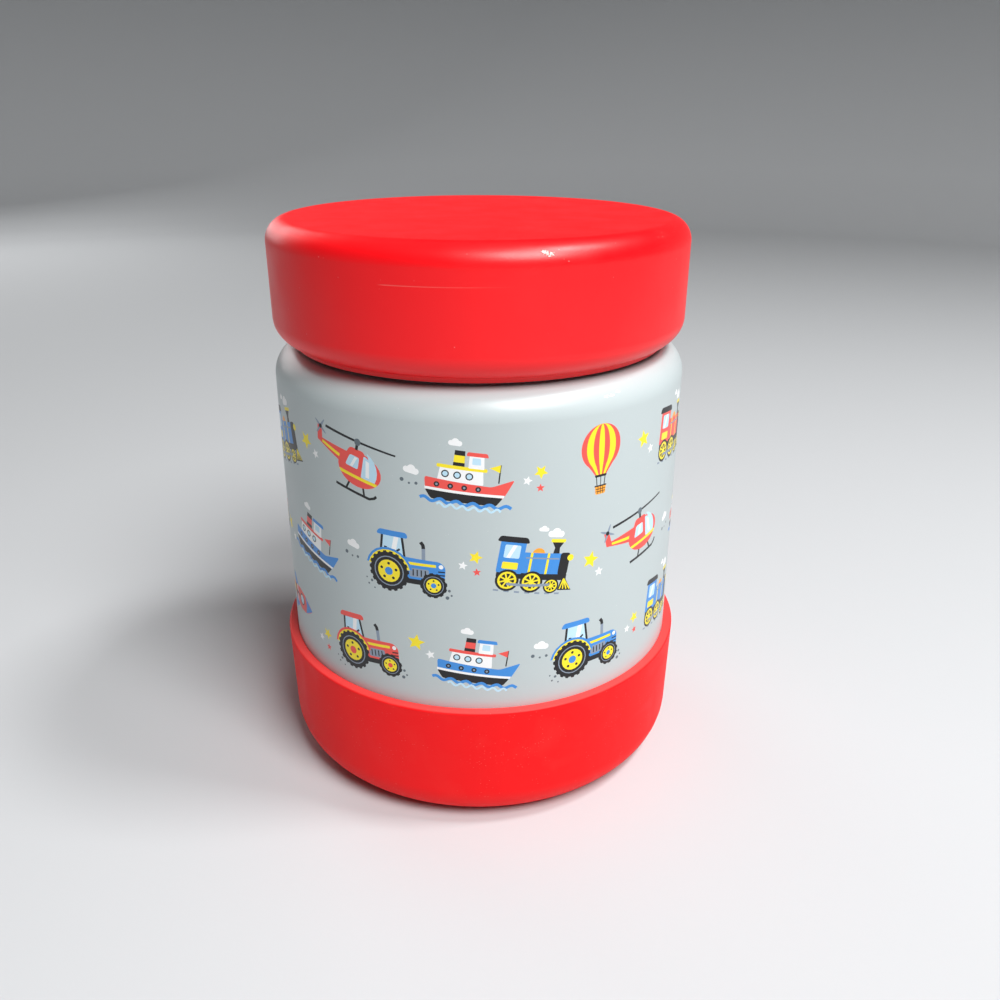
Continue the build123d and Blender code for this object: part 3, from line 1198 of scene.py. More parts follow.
def locomotive(paint: Ink, trim: Ink) -> list[Shape]:
    """Draws a small steam engine that faces right.

    Args:
        paint, trim: The inks of its body and of its trim.

    Returns:
        Its patches, from the back to the front.
    """
    return [
        *puff(Ink.WHITE, 3.4, 7.9, 1.5),
        *puff(Ink.WHITE, 0.3, 8.9, 0.9),
        *[line(Ink.STEEL, 0.45, (x, -6.7), (x + 1.2, -6.7)) for x in (-8.6, -6.2, -3.8, -1.4, 1.0, 3.4, 5.8)],
        panel(Ink.BLACK, 0.3, (-8.6, -3.4), (8.0, -3.4), (8.0, -1.8), (-8.6, -1.8)),
        panel(Ink.BLACK, 0.0, (7.2, -2.0), (9.9, -5.9), (6.3, -5.9)),
        *[line(trim, 0.3, (7.5, -3.0), (6.9 + step * 0.85, -5.6)) for step in range(4)],
        panel(Ink.BLACK, 0.0, (3.5, 2.4), (5.3, 2.4), (5.0, 4.6), (6.0, 6.2), (2.8, 6.2), (3.8, 4.6)),
        panel(trim, 0.3, (2.6, 5.9), (6.2, 5.9), (6.2, 6.7), (2.6, 6.7)),
        sector(Ink.ORANGE, 0.2, 2.9, 1.5, 0, 180),
        panel(paint, 0.5, (-4.0, -1.9), (6.4, -1.9), (6.4, 3.2), (-4.0, 3.2)),
        panel(Ink.BLACK, 0.7, (5.6, -2.1), (8.0, -2.1), (8.0, 3.4), (5.6, 3.4)),
        disc(Ink.YELLOW, 8.2, 2.2, 0.8),
        *[panel(trim, 0.0, (x, -1.9), (x + 0.55, -1.9), (x + 0.55, 3.2), (x, 3.2)) for x in (-1.6, 2.4)],
        line(Ink.STEEL, 0.35, (-2.6, 1.9), (5.4, 1.9)),
        panel(paint, 0.3, (-8.8, -2.2), (-3.0, -2.2), (-3.0, 5.6), (-8.8, 5.6)),
        panel(Ink.SKY, 0.4, (-7.7, 1.5), (-4.1, 1.5), (-4.1, 4.7), (-7.7, 4.7)),
        panel(Ink.WHITE, 0.0, (-7.1, 1.5), (-6.2, 1.5), (-5.0, 4.7), (-5.9, 4.7)),
        panel(trim, 0.3, (-7.7, -1.2), (-4.1, -1.2), (-4.1, 0.5), (-7.7, 0.5)),
        panel(Ink.BLACK, 0.6, (-9.7, 5.3), (-2.2, 5.3), (-2.9, 6.7), (-9.1, 6.7)),
        *iron_wheel(-5.9, -4.0, 2.7, trim),
        *iron_wheel(-0.3, -4.0, 2.7, trim),
        *iron_wheel(4.6, -4.8, 1.9, trim),
        line(Ink.STEEL, 0.65, (-5.9, -4.9), (-0.3, -4.9), (4.2, -4.5)),
    ]


def aeroplane(paint: Ink, trim: Ink) -> list[Shape]:
    """Draws a biplane that flies right.

    Args:
        paint, trim: The inks of its body and of its trim.

    Returns:
        Its patches, from the back to the front.
    """
    return [
        *pebbles(2, (-10.4, 0.2), (-11.3, 1.1), (-10.9, -0.8)),
        panel(trim, 0.7, (-9.4, 1.6), (-6.2, 1.2), (-7.6, 5.4), (-9.5, 5.6)),
        line(Ink.BLACK, 0.35, (0.2, -1.8), (3.4, -4.4)),
        line(Ink.BLACK, 0.35, (4.6, -1.6), (3.4, -4.4)),
        *wheel(3.4, -4.9, 1.9, trim, paint),
        panel(paint, 1.1, (-9.2, 1.0), (-2.0, -2.2), (5.4, -2.5), (7.4, -1.4), (7.6, 1.4), (5.8, 2.4),
              (-1.0, 2.6), (-8.6, 2.5)),
        panel(trim, 0.2, (-8.3, 1.15), (5.2, -0.65), (5.4, 0.25), (-8.3, 1.85)),
        panel(Ink.STEEL, 0.8, (5.2, -2.4), (7.5, -1.5), (7.7, 1.5), (5.4, 2.4)),
        sector(Ink.SKY, -1.7, 2.2, 1.7, 0, 180),
        line(Ink.BLACK, 0.35, (-3.3, 2.4), (-0.1, 2.4)),
        line(Ink.BLACK, 0.35, (-0.2, -1.0), (0.8, 5.4)),
        line(Ink.BLACK, 0.35, (3.6, -1.0), (4.4, 5.4)),
        line(Ink.BLACK, 0.25, (-0.2, -1.0), (4.4, 5.4)),
        panel(trim, 0.45, (-2.4, -1.7), (5.0, -1.7), (5.3, -0.7), (-2.2, -0.7)),
        panel(trim, 0.5, (-1.8, 5.0), (6.6, 5.0), (6.9, 6.1), (-1.5, 6.1)),
        panel(paint, 0.0, (-1.3, 5.3), (0.3, 5.3), (0.5, 5.8), (-1.1, 5.8)),
        panel(paint, 0.0, (4.9, 5.3), (6.3, 5.3), (6.5, 5.8), (5.1, 5.8)),
        panel(Ink.BLACK, 0.3, (-10.4, 1.9), (-6.4, 1.5), (-6.4, 2.2), (-10.3, 2.6)),
        oval(Ink.STONE, 8.5, 2.3, 0.42, 2.4, 6),
        oval(Ink.STONE, 8.5, -2.3, 0.42, 2.4, -6),
        panel(Ink.BLACK, 0.3, (7.4, -0.8), (9.2, -0.25), (9.2, 0.25), (7.4, 0.8)),
    ]


def helicopter(paint: Ink, trim: Ink) -> list[Shape]:
    """Draws a helicopter that flies right.

    Args:
        paint, trim: The inks of its body and of its trim.

    Returns:
        Its patches, from the back to the front.
    """
    return [
        panel(paint, 0.3, (-9.8, 1.3), (-0.6, -1.2), (0.4, 2.6), (-9.6, 2.3)),
        panel(trim, 0.0, (-9.0, 1.4), (-3.6, 0.4), (-3.4, 1.1), (-9.0, 1.95)),
        panel(paint, 0.4, (-10.6, 1.4), (-8.9, 1.2), (-9.6, 4.9), (-11.0, 5.1)),
        oval(Ink.STEEL, -10.0, 4.7, 2.2, 0.3, 62),
        oval(Ink.STEEL, -10.0, 4.7, 2.2, 0.3, -28),
        disc(Ink.BLACK, -10.0, 4.7, 0.5),
        line(Ink.BLACK, 0.5, (0.2, -3.2), (-0.6, -5.6)),
        line(Ink.BLACK, 0.5, (3.4, -3.2), (4.2, -5.6)),
        line(Ink.BLACK, 0.6, (-3.6, -5.8), (5.6, -5.8), (6.7, -5.2), (7.1, -4.6)),
        oval(paint, 1.9, -0.4, 5.6, 3.9),
        panel(paint, 0.7, (-2.0, 2.0), (3.6, 2.0), (2.6, 4.0), (-1.0, 4.0)),
        sector(Ink.SKY, 1.9, -0.35, 4.6, -20, 72),
        panel(Ink.SKY, 0.4, (2.7, -1.85), (6.35, -1.85), (5.6, 1.9), (3.2, 3.1), (2.7, 3.1)),
        panel(Ink.WHITE, 0.0, (3.9, -1.3), (4.8, -1.3), (4.2, 2.2), (3.3, 2.4)),
        panel(Ink.SKY, 0.5, (-1.7, -0.4), (1.7, -0.4), (1.7, 2.3), (-0.8, 2.3)),
        panel(Ink.WHITE, 0.0, (-0.4, -0.2), (0.3, -0.2), (1.2, 2.1), (0.5, 2.1)),
        panel(trim, 0.25, (-3.2, -1.9), (6.9, -1.9), (6.6, -2.6), (-2.7, -2.6)),
        line(Ink.BLACK, 0.7, (0.7, 3.8), (0.7, 5.4)),
        panel(Ink.BLACK, 0.15, (-8.4, 5.2), (9.8, 5.7), (9.8, 6.1), (-8.4, 5.8)),
        disc(Ink.STONE, 0.7, 5.6, 0.8),
    ]


def tugboat(paint: Ink, trim: Ink) -> list[Shape]:
    """Draws a harbour tug that sails right.

    Args:
        paint, trim: The inks of its body and of its trim.

    Returns:
        Its patches, from the back to the front.
    """
    wave = [(-10.0 + 0.4 * step, -6.1 + 0.4 * math.sin(0.7 * step)) for step in range(51)]
    return [
        *puff(Ink.WHITE, -3.6, 7.4, 1.15),
        panel(Ink.BLACK, 0.0, (-3.6, 1.0), (-1.0, 1.0), (-1.2, 5.9), (-3.4, 5.9)),
        panel(trim, 0.0, (-3.5, 3.2), (-1.1, 3.2), (-1.2, 4.8), (-3.45, 4.8)),
        panel(Ink.WHITE, 0.3, (-6.6, -1.4), (3.4, -1.4), (3.0, 2.0), (-6.2, 2.0)),
        panel(trim, 0.3, (-7.0, 1.6), (3.9, 1.6), (3.9, 2.4), (-7.0, 2.4)),
        panel(Ink.WHITE, 0.2, (-0.2, 2.2), (3.2, 2.2), (2.9, 5.2), (-0.2, 5.2)),
        panel(Ink.SKY, 0.2, (0.5, 3.1), (2.4, 3.1), (2.2, 4.6), (0.5, 4.6)),
        panel(paint, 0.3, (-0.9, 4.9), (3.9, 4.9), (3.5, 5.8), (-0.7, 5.8)),
        *[disc(ink, x, 0.3, radius) for ink, radius in ((Ink.BLACK, 0.85), (Ink.SKY, 0.58))
          for x in (-5.0, -2.4, 0.2)],
        line(Ink.BLACK, 0.3, (6.6, -0.6), (6.6, 3.6)),
        panel(trim, 0.0, (6.6, 1.8), (6.6, 3.6), (4.3, 2.7)),
        panel(paint, 0.6, (-9.4, -1.0), (5.2, -1.6), (10.0, 0.4), (8.4, -3.2), (6.6, -5.8), (-7.6, -5.8),
              (-9.0, -4.0)),
        panel(Ink.BLACK, 0.5, (-9.1, -3.9), (7.9, -3.9), (6.6, -5.9), (-7.6, -5.9)),
        panel(Ink.WHITE, 0.0, (-9.2, -3.3), (8.2, -3.3), (8.0, -3.9), (-9.1, -3.9)),
        *[disc(ink, x, -2.4, radius) for ink, radius in ((Ink.BLACK, 0.62), (Ink.STEEL, 0.28))
          for x in (-6.6, -3.6, -0.6, 2.4)],
        line(Ink.BLUE, 0.75, *wave),
        line(Ink.SKY, 0.5, *[(x * 0.7 + 0.8, y - 0.9) for x, y in wave]),
    ]


def gore(ink: Ink, share: float) -> Shape:
    """Draws the middle gore of a hot-air balloon's envelope.

    Args:
        ink: Its colour.
        share: The share of the envelope's width that it fills.

    Returns:
        The patch.
    """
    radius, middle, waist, mouth = 5.6, 2.6, -2.3, (1.5, -4.3)
    angles = [math.radians(90 - 9.5 * step) for step in range(17)]
    dome = [(radius * math.cos(angle), middle + radius * math.sin(angle)) for angle in angles]
    side = [(x, y) for x, y in dome if y > waist] + [mouth]
    return Shape(ink, [(-share * x, y) for x, y in side] + [(share * x, y) for x, y in reversed(side)][:-1])


def balloon(paint: Ink, trim: Ink) -> list[Shape]:
    """Draws a hot-air balloon.

    Args:
        paint, trim: The inks of its body and of its trim.

    Returns:
        Its patches, from the back to the front.
    """
    return [
        line(Ink.BLACK, 0.25, (-1.3, -4.2), (-1.0, -7.0)),
        line(Ink.BLACK, 0.25, (1.3, -4.2), (1.0, -7.0)),
        line(Ink.BLACK, 0.2, (0.0, -4.2), (0.0, -7.0)),
        gore(paint, 1.0),
        gore(trim, 0.74),
        gore(paint, 0.42),
        gore(trim, 0.14),
        panel(Ink.BLACK, 0.2, (-1.6, -4.7), (1.6, -4.7), (1.7, -4.1), (-1.7, -4.1)),
        panel(Ink.ORANGE, 0.4, (-1.4, -9.0), (1.4, -9.0), (1.6, -6.8), (-1.6, -6.8)),
        line(Ink.BLACK, 0.35, (-1.7, -6.9), (1.7, -6.9)),
        *[line(Ink.BLACK, 0.18, (-1.4, y), (1.4, y)) for y in (-7.7, -8.3)],
        *[line(Ink.BLACK, 0.18, (x, -8.9), (x, -7.0)) for x in (-0.7, 0.0, 0.7)],
    ]


def rocket(paint: Ink, trim: Ink) -> list[Shape]:
    """Draws a toy rocket that climbs to the right.

    Args:
        paint, trim: The inks of its body and of its trim.

    Returns:
        Its patches, from the back to the front.
    """
    return [
        panel(Ink.ORANGE, 0.0, (-5.2, -1.5), (-9.8, -0.4), (-8.0, 0.2), (-10.9, 0.9), (-7.9, 0.9),
              (-9.4, 2.0), (-5.2, 1.7)),
        panel(Ink.YELLOW, 0.0, (-5.2, -0.9), (-8.4, 0.1), (-6.9, 0.5), (-5.2, 1.1)),
        panel(trim, 0.5, (-4.9, 1.0), (-1.0, 2.2), (-4.4, 5.1), (-6.9, 5.2)),
        panel(trim, 0.5, (-4.9, -1.0), (-1.0, -2.2), (-4.4, -5.1), (-6.9, -5.2)),
        panel(Ink.BLACK, 0.3, (-5.9, -1.6), (-4.2, -1.9), (-4.2, 1.9), (-5.9, 1.6)),
        panel(paint, 1.4, (-4.8, -2.2), (0.0, -3.1), (4.6, -2.5), (8.9, 0.0), (4.6, 2.5), (0.0, 3.1),
              (-4.8, 2.2)),
        panel(trim, 0.5, (4.2, -2.55), (8.6, 0.0), (4.2, 2.55), (4.9, 0.0)),
        panel(Ink.WHITE, 0.0, (-3.6, -2.45), (-2.7, -2.65), (-2.7, 2.65), (-3.6, 2.45)),
        disc(Ink.BLACK, 1.4, 0.2, 1.65),
        disc(Ink.SKY, 1.4, 0.2, 1.25),
        sector(Ink.WHITE, 1.4, 0.2, 1.25, 60, 170),
        panel(Ink.BLACK, 0.25, (-5.2, -0.35), (-1.4, -0.35), (-1.4, 0.35), (-5.2, 0.35)),
    ]


def digger(paint: Ink, trim: Ink) -> list[Shape]:
    """Draws a tracked digger with its bucket to the right.

    Args:
        paint, trim: The inks of its body and of its trim.

    Returns:
        Its patches, from the back to the front.
    """
    return [
        *pebbles(3, (8.6, -6.2), (9.6, -5.6), (10.3, -6.4), (9.2, -4.8)),
        line(paint, 1.5, (0.4, -0.4), (3.8, 5.4)),
        line(paint, 1.2, (3.4, 5.3), (8.0, 1.2)),
        line(Ink.STEEL, 0.5, (1.6, -0.2), (3.6, 3.0)),
        line(Ink.STEEL, 0.5, (4.0, 5.9), (6.8, 3.6)),
        disc(Ink.BLACK, 3.7, 5.3, 0.75),
        disc(trim, 3.7, 5.3, 0.35),
        panel(Ink.BLACK, 0.4, (6.8, 1.9), (9.5, 0.9), (8.9, -2.2), (6.9, -3.2), (5.8, -2.0), (7.6, -1.0)),
        disc(Ink.STEEL, 8.0, 1.1, 0.45),
        panel(paint, 0.8, (-8.6, -2.6), (1.2, -2.6), (1.2, 0.4), (-2.6, 0.8), (-8.6, 1.6)),
        panel(trim, 0.0, (-8.0, -1.2), (-4.0, -1.2), (-4.0, -0.5), (-8.0, -0.5)),
        *[line(Ink.BLACK, 0.3, (x, 0.0), (x, 1.0)) for x in (-7.6, -6.8, -6.0)],
        panel(paint, 0.5, (-3.9, -0.6), (1.4, -0.6), (1.0, 5.2), (-3.9, 5.2)),
        panel(Ink.SKY, 0.4, (-3.1, 0.7), (0.7, 0.7), (0.4, 4.5), (-3.1, 4.5)),
        panel(Ink.WHITE, 0.0, (-2.2, 0.8), (-1.3, 0.8), (-0.3, 4.4), (-1.2, 4.4)),
        panel(Ink.BLACK, 0.4, (-4.5, 4.9), (1.8, 4.9), (1.4, 5.8), (-4.2, 5.8)),
        panel(Ink.BLACK, 1.9, (-9.2, -6.8), (4.4, -6.8), (4.4, -3.0), (-9.2, -3.0)),
        panel(Ink.STEEL, 1.0, (-7.9, -5.9), (3.1, -5.9), (3.1, -3.9), (-7.9, -3.9)),
        *[disc(ink, x, -4.9, radius) for ink, radius in ((Ink.BLACK, 0.95), (trim, 0.45))
          for x in (-6.9, -4.6, -2.4, -0.2, 2.1)],
    ]


def ink_finish(ink: Ink) -> PrintedInk:
    """Returns the finish of an ink of the print."""
    return PrintedInk("printed_ink_" + ink.name.lower(), ink.value, ENAMEL.roughness)


FIRST_INK_SLOT = 2  # after the enamel and the bare steel of the wall


class Motif(NamedTuple):
    """One picture of the print: how it is drawn, its two main inks and its scale."""

    draw: Callable[[Ink, Ink], list[Shape]]
    paint: Ink
    trim: Ink
    scale: float = 0.95


MOTIFS = (
    Motif(tractor, Ink.CORAL, Ink.YELLOW),
    Motif(aeroplane, Ink.YELLOW, Ink.CORAL),
    Motif(locomotive, Ink.BLUE, Ink.YELLOW, 0.9),
    Motif(digger, Ink.YELLOW, Ink.CORAL),
    Motif(balloon, Ink.CORAL, Ink.YELLOW, 0.86),
    Motif(tugboat, Ink.BLUE, Ink.CORAL, 0.9),
    Motif(tractor, Ink.YELLOW, Ink.CORAL),
    Motif(helicopter, Ink.CORAL, Ink.YELLOW),
    Motif(rocket, Ink.CORAL, Ink.BLUE, 0.88),
    Motif(locomotive, Ink.CORAL, Ink.YELLOW, 0.9),
    Motif(tractor, Ink.BLUE, Ink.YELLOW),
    Motif(helicopter, Ink.YELLOW, Ink.CORAL),
    Motif(tugboat, Ink.CORAL, Ink.YELLOW, 0.9),
)


@dataclass(frozen=True)
class Print:
    """The print round the straight wall: rows of pictures, each row half a pitch on from the last."""

    radius: float  # of the wall, in millimetres
    low: float  # height of the lower end of the straight wall
    high: float
    top_row: float = 83.0  # height of its middle
    row_pitch: float = 20.6
    rows: int = 4  # the lowest is mostly under the boot
    per_row: int = 11
    seed: int = 11  # of the small turns and shifts that keep the rows from looking ruled
    aside: float = 1.5  # the furthest that a picture is shifted sideways
    upright: float = 1.2  # and up or down
    lean: float = 13.0  # the furthest that it is turned, in degrees
    stray: float = 4.0  # the furthest that what stands between two pictures is shifted up or down

    @property
    def girth(self) -> int:
        """Returns the length of the print once round the wall, to the nearest millimetre."""
        return round(2 * math.pi * self.radius)

    def shapes(self) -> list[Shape]:
        """Draws the whole print on the unrolled wall.

        Returns:
            The patches, from the back to the front, on a sheet whose middle is the jar's front.
        """
        draws = random.Random(self.seed)
        pitch = self.girth / self.per_row
        found: list[Shape] = []
        for row in range(self.rows):
            height = self.top_row - self.row_pitch * row
            for place in range(self.per_row):
                motif = MOTIFS[(5 * place + 3 * row) % len(MOTIFS)]
                ruled = (place - (self.per_row - 1) / 2 + row % 2 / 2) * pitch
                across = ruled + draws.uniform(-self.aside, self.aside)
                up = height + draws.uniform(-self.upright, self.upright)
                turn = draws.uniform(-self.lean, self.lean)
                found += self.placed(motif.draw(motif.paint, motif.trim), across, up, turn, motif.scale)
                accents = self.accents(draws, (row + place) % 3)
                higher = up + draws.uniform(-self.stray, self.stray)
                found += self.placed(accents, across + pitch / 2, higher, turn, 1.0)
        return found

    def accents(self, draws: random.Random, kind: int) -> list[Shape]:
        """Draws the small things that stand between two pictures.

        Args:
            draws: The random numbers.
            kind: Which of the three groups it is.

        Returns:
            Its patches.
        """
        if kind == 1:
            return [*puff(Ink.WHITE, 0.0, 0.8, 1.25), *pebbles(0, (-1.4, -1.6), (0.2, -1.9), (1.6, -1.5))]
        lean = draws.uniform(60, 120)
        if kind == 0:
            return [star(Ink.YELLOW, -0.9, 1.2, 2.0, lean), star(Ink.WHITE, 1.9, -1.6, 1.1, 100.0)]
        return [
            star(Ink.WHITE, -1.6, -0.9, 1.0, 80.0),
            star(Ink.YELLOW, 0.9, 1.0, 1.5, lean),
            star(Ink.CORAL, 1.2, -2.3, 0.9, 95.0),
        ]

    def placed(self, shapes: Iterable[Shape], across: float, up: float, turn: float,
               scale: float) -> list[Shape]:
        """Moves shapes to their place, and repeats on the other side what reaches over the seam.

        Args:
            shapes: The shapes, round their own middle.
            across: Where that middle goes along the girth, from the front.
            up: Its height.
            turn: Their turn in degrees.
            scale: Their size.

        Returns:
            The moved shapes.
        """
        cos, sin = scale * math.cos(math.radians(turn)), scale * math.sin(math.radians(turn))
        moved = []
        for ink, outline in shapes:
            places = [(across + x * cos - y * sin, up + x * sin + y * cos) for x, y in outline]
            points = [tuple(round(value * PRINT_STEPS) / PRINT_STEPS for value in place) for place in places]
            moved.append(Shape(ink, points))
            if max(points)[0] > self.girth / 2:
                moved.append(Shape(ink, [(x - self.girth, y) for x, y in points]))
            if min(points)[0] < -self.girth / 2:
                moved.append(Shape(ink, [(x + self.girth, y) for x, y in points]))
        return moved

    def cover(self, skin: Skin, below: list[int], above: list[int], ends: Sequence[float]) -> None:
        """Fills the straight wall with triangles, each of one ink, that follow its columns.

        Args:
            skin: The mesh in the making.
            below: The numbers of its points at the lower end, one for each column.
            above: Those at the upper end.
            ends: Where the two ends lie along the bake map.
        """
        half = self.girth / 2
        lines = [self.girth * column / COLUMNS - half for column in range(COLUMNS + 1)]
        points = [Vector((x, y)) for x in lines for y in (self.low, self.high)]
        edges = [(2 * column, 2 * column + 1) for column in range(COLUMNS + 1)]
        edges += [(2 * column + end, 2 * column + 2 + end) for column in range(COLUMNS) for end in (0, 1)]
        shapes = self.shapes()
        patches = []
        for shape in shapes:
            patches.append(list(range(len(points), len(points) + len(shape.outline))))
            points += [Vector(point) for point in shape.outline]
        cut = geometry.delaunay_2d_cdt(points, edges, patches, 0, CLOSE, True)
        flat, _, triangles, origins, _, covers = cut
        rims = [number for pair in zip(below, above) for number in pair]
        numbers = {}
        for index, origin in enumerate(origins):
            if origin and min(origin) < len(lines) * 2:
                numbers[index] = rims[min(origin) % len(rims)]
        partners = self.across_seam(flat)
        inks = list(Ink)
        for corners, cover in zip(triangles, covers):
            if abs(sum(flat[corner].x for corner in corners) / 3) > half:
                continue
            touches = []
            for corner in corners:
                kept = partners.get(corner, corner)
                if kept not in numbers:
                    x, y = column_point((flat[kept].x / self.girth + 0.5) * COLUMNS, self.radius)
                    numbers[kept] = skin.add_point(x, y, flat[kept].y)
                touches.append(self.touch(numbers[kept], flat[corner], ends))
            if len({touch.number for touch in touches}) == len(touches):
                skin.slots.append(FIRST_INK_SLOT + inks.index(shapes[max(cover)].ink) if cover else 0)
                skin.faces.append(touches)

    def across_seam(self, flat: Sequence[Vector]) -> dict[int, int]:
        """Pairs the points on the seam's right side with those at the same heights on its left side.

        Args:
            flat: The points of the unrolled wall.

        Returns:
            The number on the left side for each number on the right.
        """
        half = self.girth / 2
        left = [number for number, place in enumerate(flat) if abs(place.x + half) < CLOSE]
        right = [number for number, place in enumerate(flat) if abs(place.x - half) < CLOSE]
        return {number: min(left, key=lambda other: abs(flat[other].y - flat[number].y)) for number in right}

    def touch(self, number: int, place: Vector, ends: Sequence[float]) -> Touch:
        """Makes the corner of a face at a point of the unrolled wall, with the cylinder's own normal.

        Args:
            number: The point's number in the mesh.
            place: Its place on the unrolled wall.
            ends: Where the two ends of the wall lie along the bake map.

        Returns:
            The corner.
        """
        share = (place.y - self.low) / (self.high - self.low)
        across = place.x / self.girth + 0.5
        x, y = column_point(across * COLUMNS, 1.0)
        return Touch(number, (across, ends[0] + share * (ends[1] - ends[0])), (x, y, 0.0))


# ---- The steel jar ----


@dataclass
class SteelJar:
    """The vacuum jar: the outer wall with its print and rolled thread, the vessel in it, and its base."""

    wall: Span = field(default_factory=lambda: Span.of("outer_wall"))
    vessel: Span = field(default_factory=lambda: Span.of("inner_vessel"))  # its rim is as wide as the neck
    cover: Span = field(default_factory=lambda: Span.of("base_cover"))
    sheet: float = 0.5
    shoulder_round: float = 6.0
    foot_round: float = 7.0
    foot_ring_width: float = 3.5
    foot_edge_round: float = 0.15
    shoulder_height: float = 96.2  # from the foot
    root_round: float = 0.8
    neck_vacuum: float = 0.7
    rim_height: float = 1.1
    rim_round: float = 0.5
    vessel_corner: float = 9.0
    panel_radius: float = 23.0
    panel_rise: float = 0.9
    panel_round: float = 1.2
    cover_round: float = 1.0
    cover_lip_round: float = 0.1
    groove_radius: float = 29.0  # of a pressed ring that stiffens the cover
    groove_depth: float = 0.15
    groove_floor: float = 1.2  # width of its floor
    groove_mouth: float = 2.0  # its width at the cover's face
    groove_round: float = 0.8
    thread_start: float = 5.2  # above the shoulder
    thread_pitch: float = 4.2
    thread_turns: float = 1.3
    thread_depth: float = 1.0
    thread_width: float = 2.3
    thread_fade: float = 0.09  # the part of a turn in which it swells or fades
    thread_step: float = 0.22  # height of the faces that carry it
    thread_band: float = 0.1  # how far off the neck's radius its points may lie

    @property
    def shoulder(self) -> float:
        """Returns the height of the top of the shoulder."""
        return self.wall.low + self.shoulder_height

    @property
    def neck_radius(self) -> float:
        """Returns the outer radius of the neck."""
        return self.vessel.radius

    @property
    def thread_foot(self) -> float:
        """Returns the height at which the rolled thread starts."""
        return self.shoulder + self.thread_start

    def build(self) -> list[Piece]:
        """Builds the pieces of the jar and dresses the solids that stay.

        Returns:
            All of them.
        """
        return [
            self.build_wall(),
            self.build_vessel(),
            self.build_cover(),
            dress_node("outer_base", BRUSHED_STEEL),
            dress_node("vacuum_seal", SOLDER_GLASS),
            dress_node("getter", GETTER_ALLOY),
            dress_node("getter_clip", BRUSHED_STEEL),
            dress_node("copper_foil", FOIL),
        ]

    def build_wall(self) -> Piece:
        """Builds the outer wall: enamelled and printed outside, bare on the neck and within.

        Returns:
            The wall.
        """
        paint, bare = 0, 1
        ring_inner = self.wall.radius - self.foot_round - self.foot_ring_width
        inner_radius, inner_foot = self.wall.radius - self.sheet, self.wall.low + self.sheet
        neck_inner, under_shoulder = self.neck_radius - self.sheet, self.shoulder - self.sheet
        spots = rounded([
            Corner(ring_inner, self.wall.low, self.foot_edge_round, paint),
            Corner(self.wall.radius, self.wall.low, self.foot_round, paint),
            Corner(self.wall.radius, self.shoulder, self.shoulder_round, paint),
            Corner(self.neck_radius, self.shoulder, self.root_round, paint),
            Corner(self.neck_radius, self.shoulder + self.root_round + HAIR, 0.0, bare, self.thread_step),
            Corner(self.neck_radius, self.wall.high, 0.0, bare),
            Corner(neck_inner, self.wall.high, 0.0, bare),
            Corner(neck_inner, under_shoulder, self.root_round + self.sheet, bare),
            Corner(inner_radius, under_shoulder, self.shoulder_round - self.sheet, bare),
            Corner(inner_radius, inner_foot, self.foot_round - self.sheet, bare),
            Corner(ring_inner, inner_foot, 0.0, bare),
        ], closed=True)
        straight = (self.wall.low + self.foot_round, self.shoulder - self.shoulder_round)
        artwork = Print(self.wall.radius, *straight)
        band = next(index for index, spot in enumerate(spots) if abs(spot.height - artwork.low) < NIL)
        skin = Skin()
        rows, shares = skin.lathe(spots, closed=True, gap=band)
        artwork.cover(skin, rows[band], rows[band + 1], shares[band : band + 2])
        wall = skin.build("printed_wall", [ENAMEL, BRUSHED_STEEL, *[ink_finish(ink) for ink in Ink]])
        self.roll_thread(wall)
        return settle(wall, "jar", "outer_wall")

    def roll_thread(self, wall: Piece) -> None:
        """Rolls the thread into the neck: a low helical bead that fades at both ends.

        Args:
            wall: The turned wall, whose neck has rows of faces close enough to carry the bead.
        """
        roll = Pattern(
            "rolled_thread",
            radius=self.neck_radius * MM,
            start=self.thread_foot * MM,
            pitch=self.thread_pitch * MM,
            turns=self.thread_turns,
            depth=self.thread_depth * MM,
            width=self.thread_width * MM,
            fade=self.thread_fade,
            band=self.thread_band * MM,
            foot=(self.shoulder + self.root_round) * MM,
            finish=BRUSHED_STEEL.material(),
        )
        given = roll.given
        place = roll.add("GeometryNodeInputPosition")
        parts = roll.add(SPLIT, (place,)).outputs
        angle = roll.add(MATH, (parts[1], parts[0]), operation="ARCTAN2")
        turned = roll.add(MATH, (angle, 1 / (2 * math.pi), 0.5), operation="MULTIPLY_ADD")
        above = roll.add(MATH, (parts[2], given["start"]), operation="SUBTRACT")
        climbed = roll.add(MATH, (above, given["pitch"]), operation="DIVIDE")
        ahead = roll.add(MATH, (climbed, turned), operation="SUBTRACT")
        whole = roll.add(MATH, (ahead,), operation="ROUND")
        along = roll.add(MATH, (turned, whole), operation="ADD")

        missed = roll.add(MATH, (ahead, whole), operation="SUBTRACT")
        aside = roll.add(MATH, (missed,), operation="ABSOLUTE")
        drop = roll.add(MATH, (aside, given["pitch"]), operation="MULTIPLY")
        half = roll.add(MATH, (given["width"], 0.5), operation="MULTIPLY")
        share = roll.add(MATH, (drop, half), operation="DIVIDE", use_clamp=True)
        turn = roll.add(MATH, (share, math.pi), operation="MULTIPLY")
        wave = roll.add(MATH, (turn,), operation="COSINE")
        swell = roll.add(MATH, (wave, 0.5, 0.5), operation="MULTIPLY_ADD")

        rise = roll.add(MATH, (along, given["fade"]), operation="DIVIDE", use_clamp=True)
        left = roll.add(MATH, (given["turns"], along), operation="SUBTRACT")
        fall = roll.add(MATH, (left, given["fade"]), operation="DIVIDE", use_clamp=True)
        ends = roll.add(MATH, (rise, fall), operation="MULTIPLY")
        bead = roll.add(MATH, (swell, ends), operation="MULTIPLY")
        height = roll.add(MATH, (bead, given["depth"]), operation="MULTIPLY")

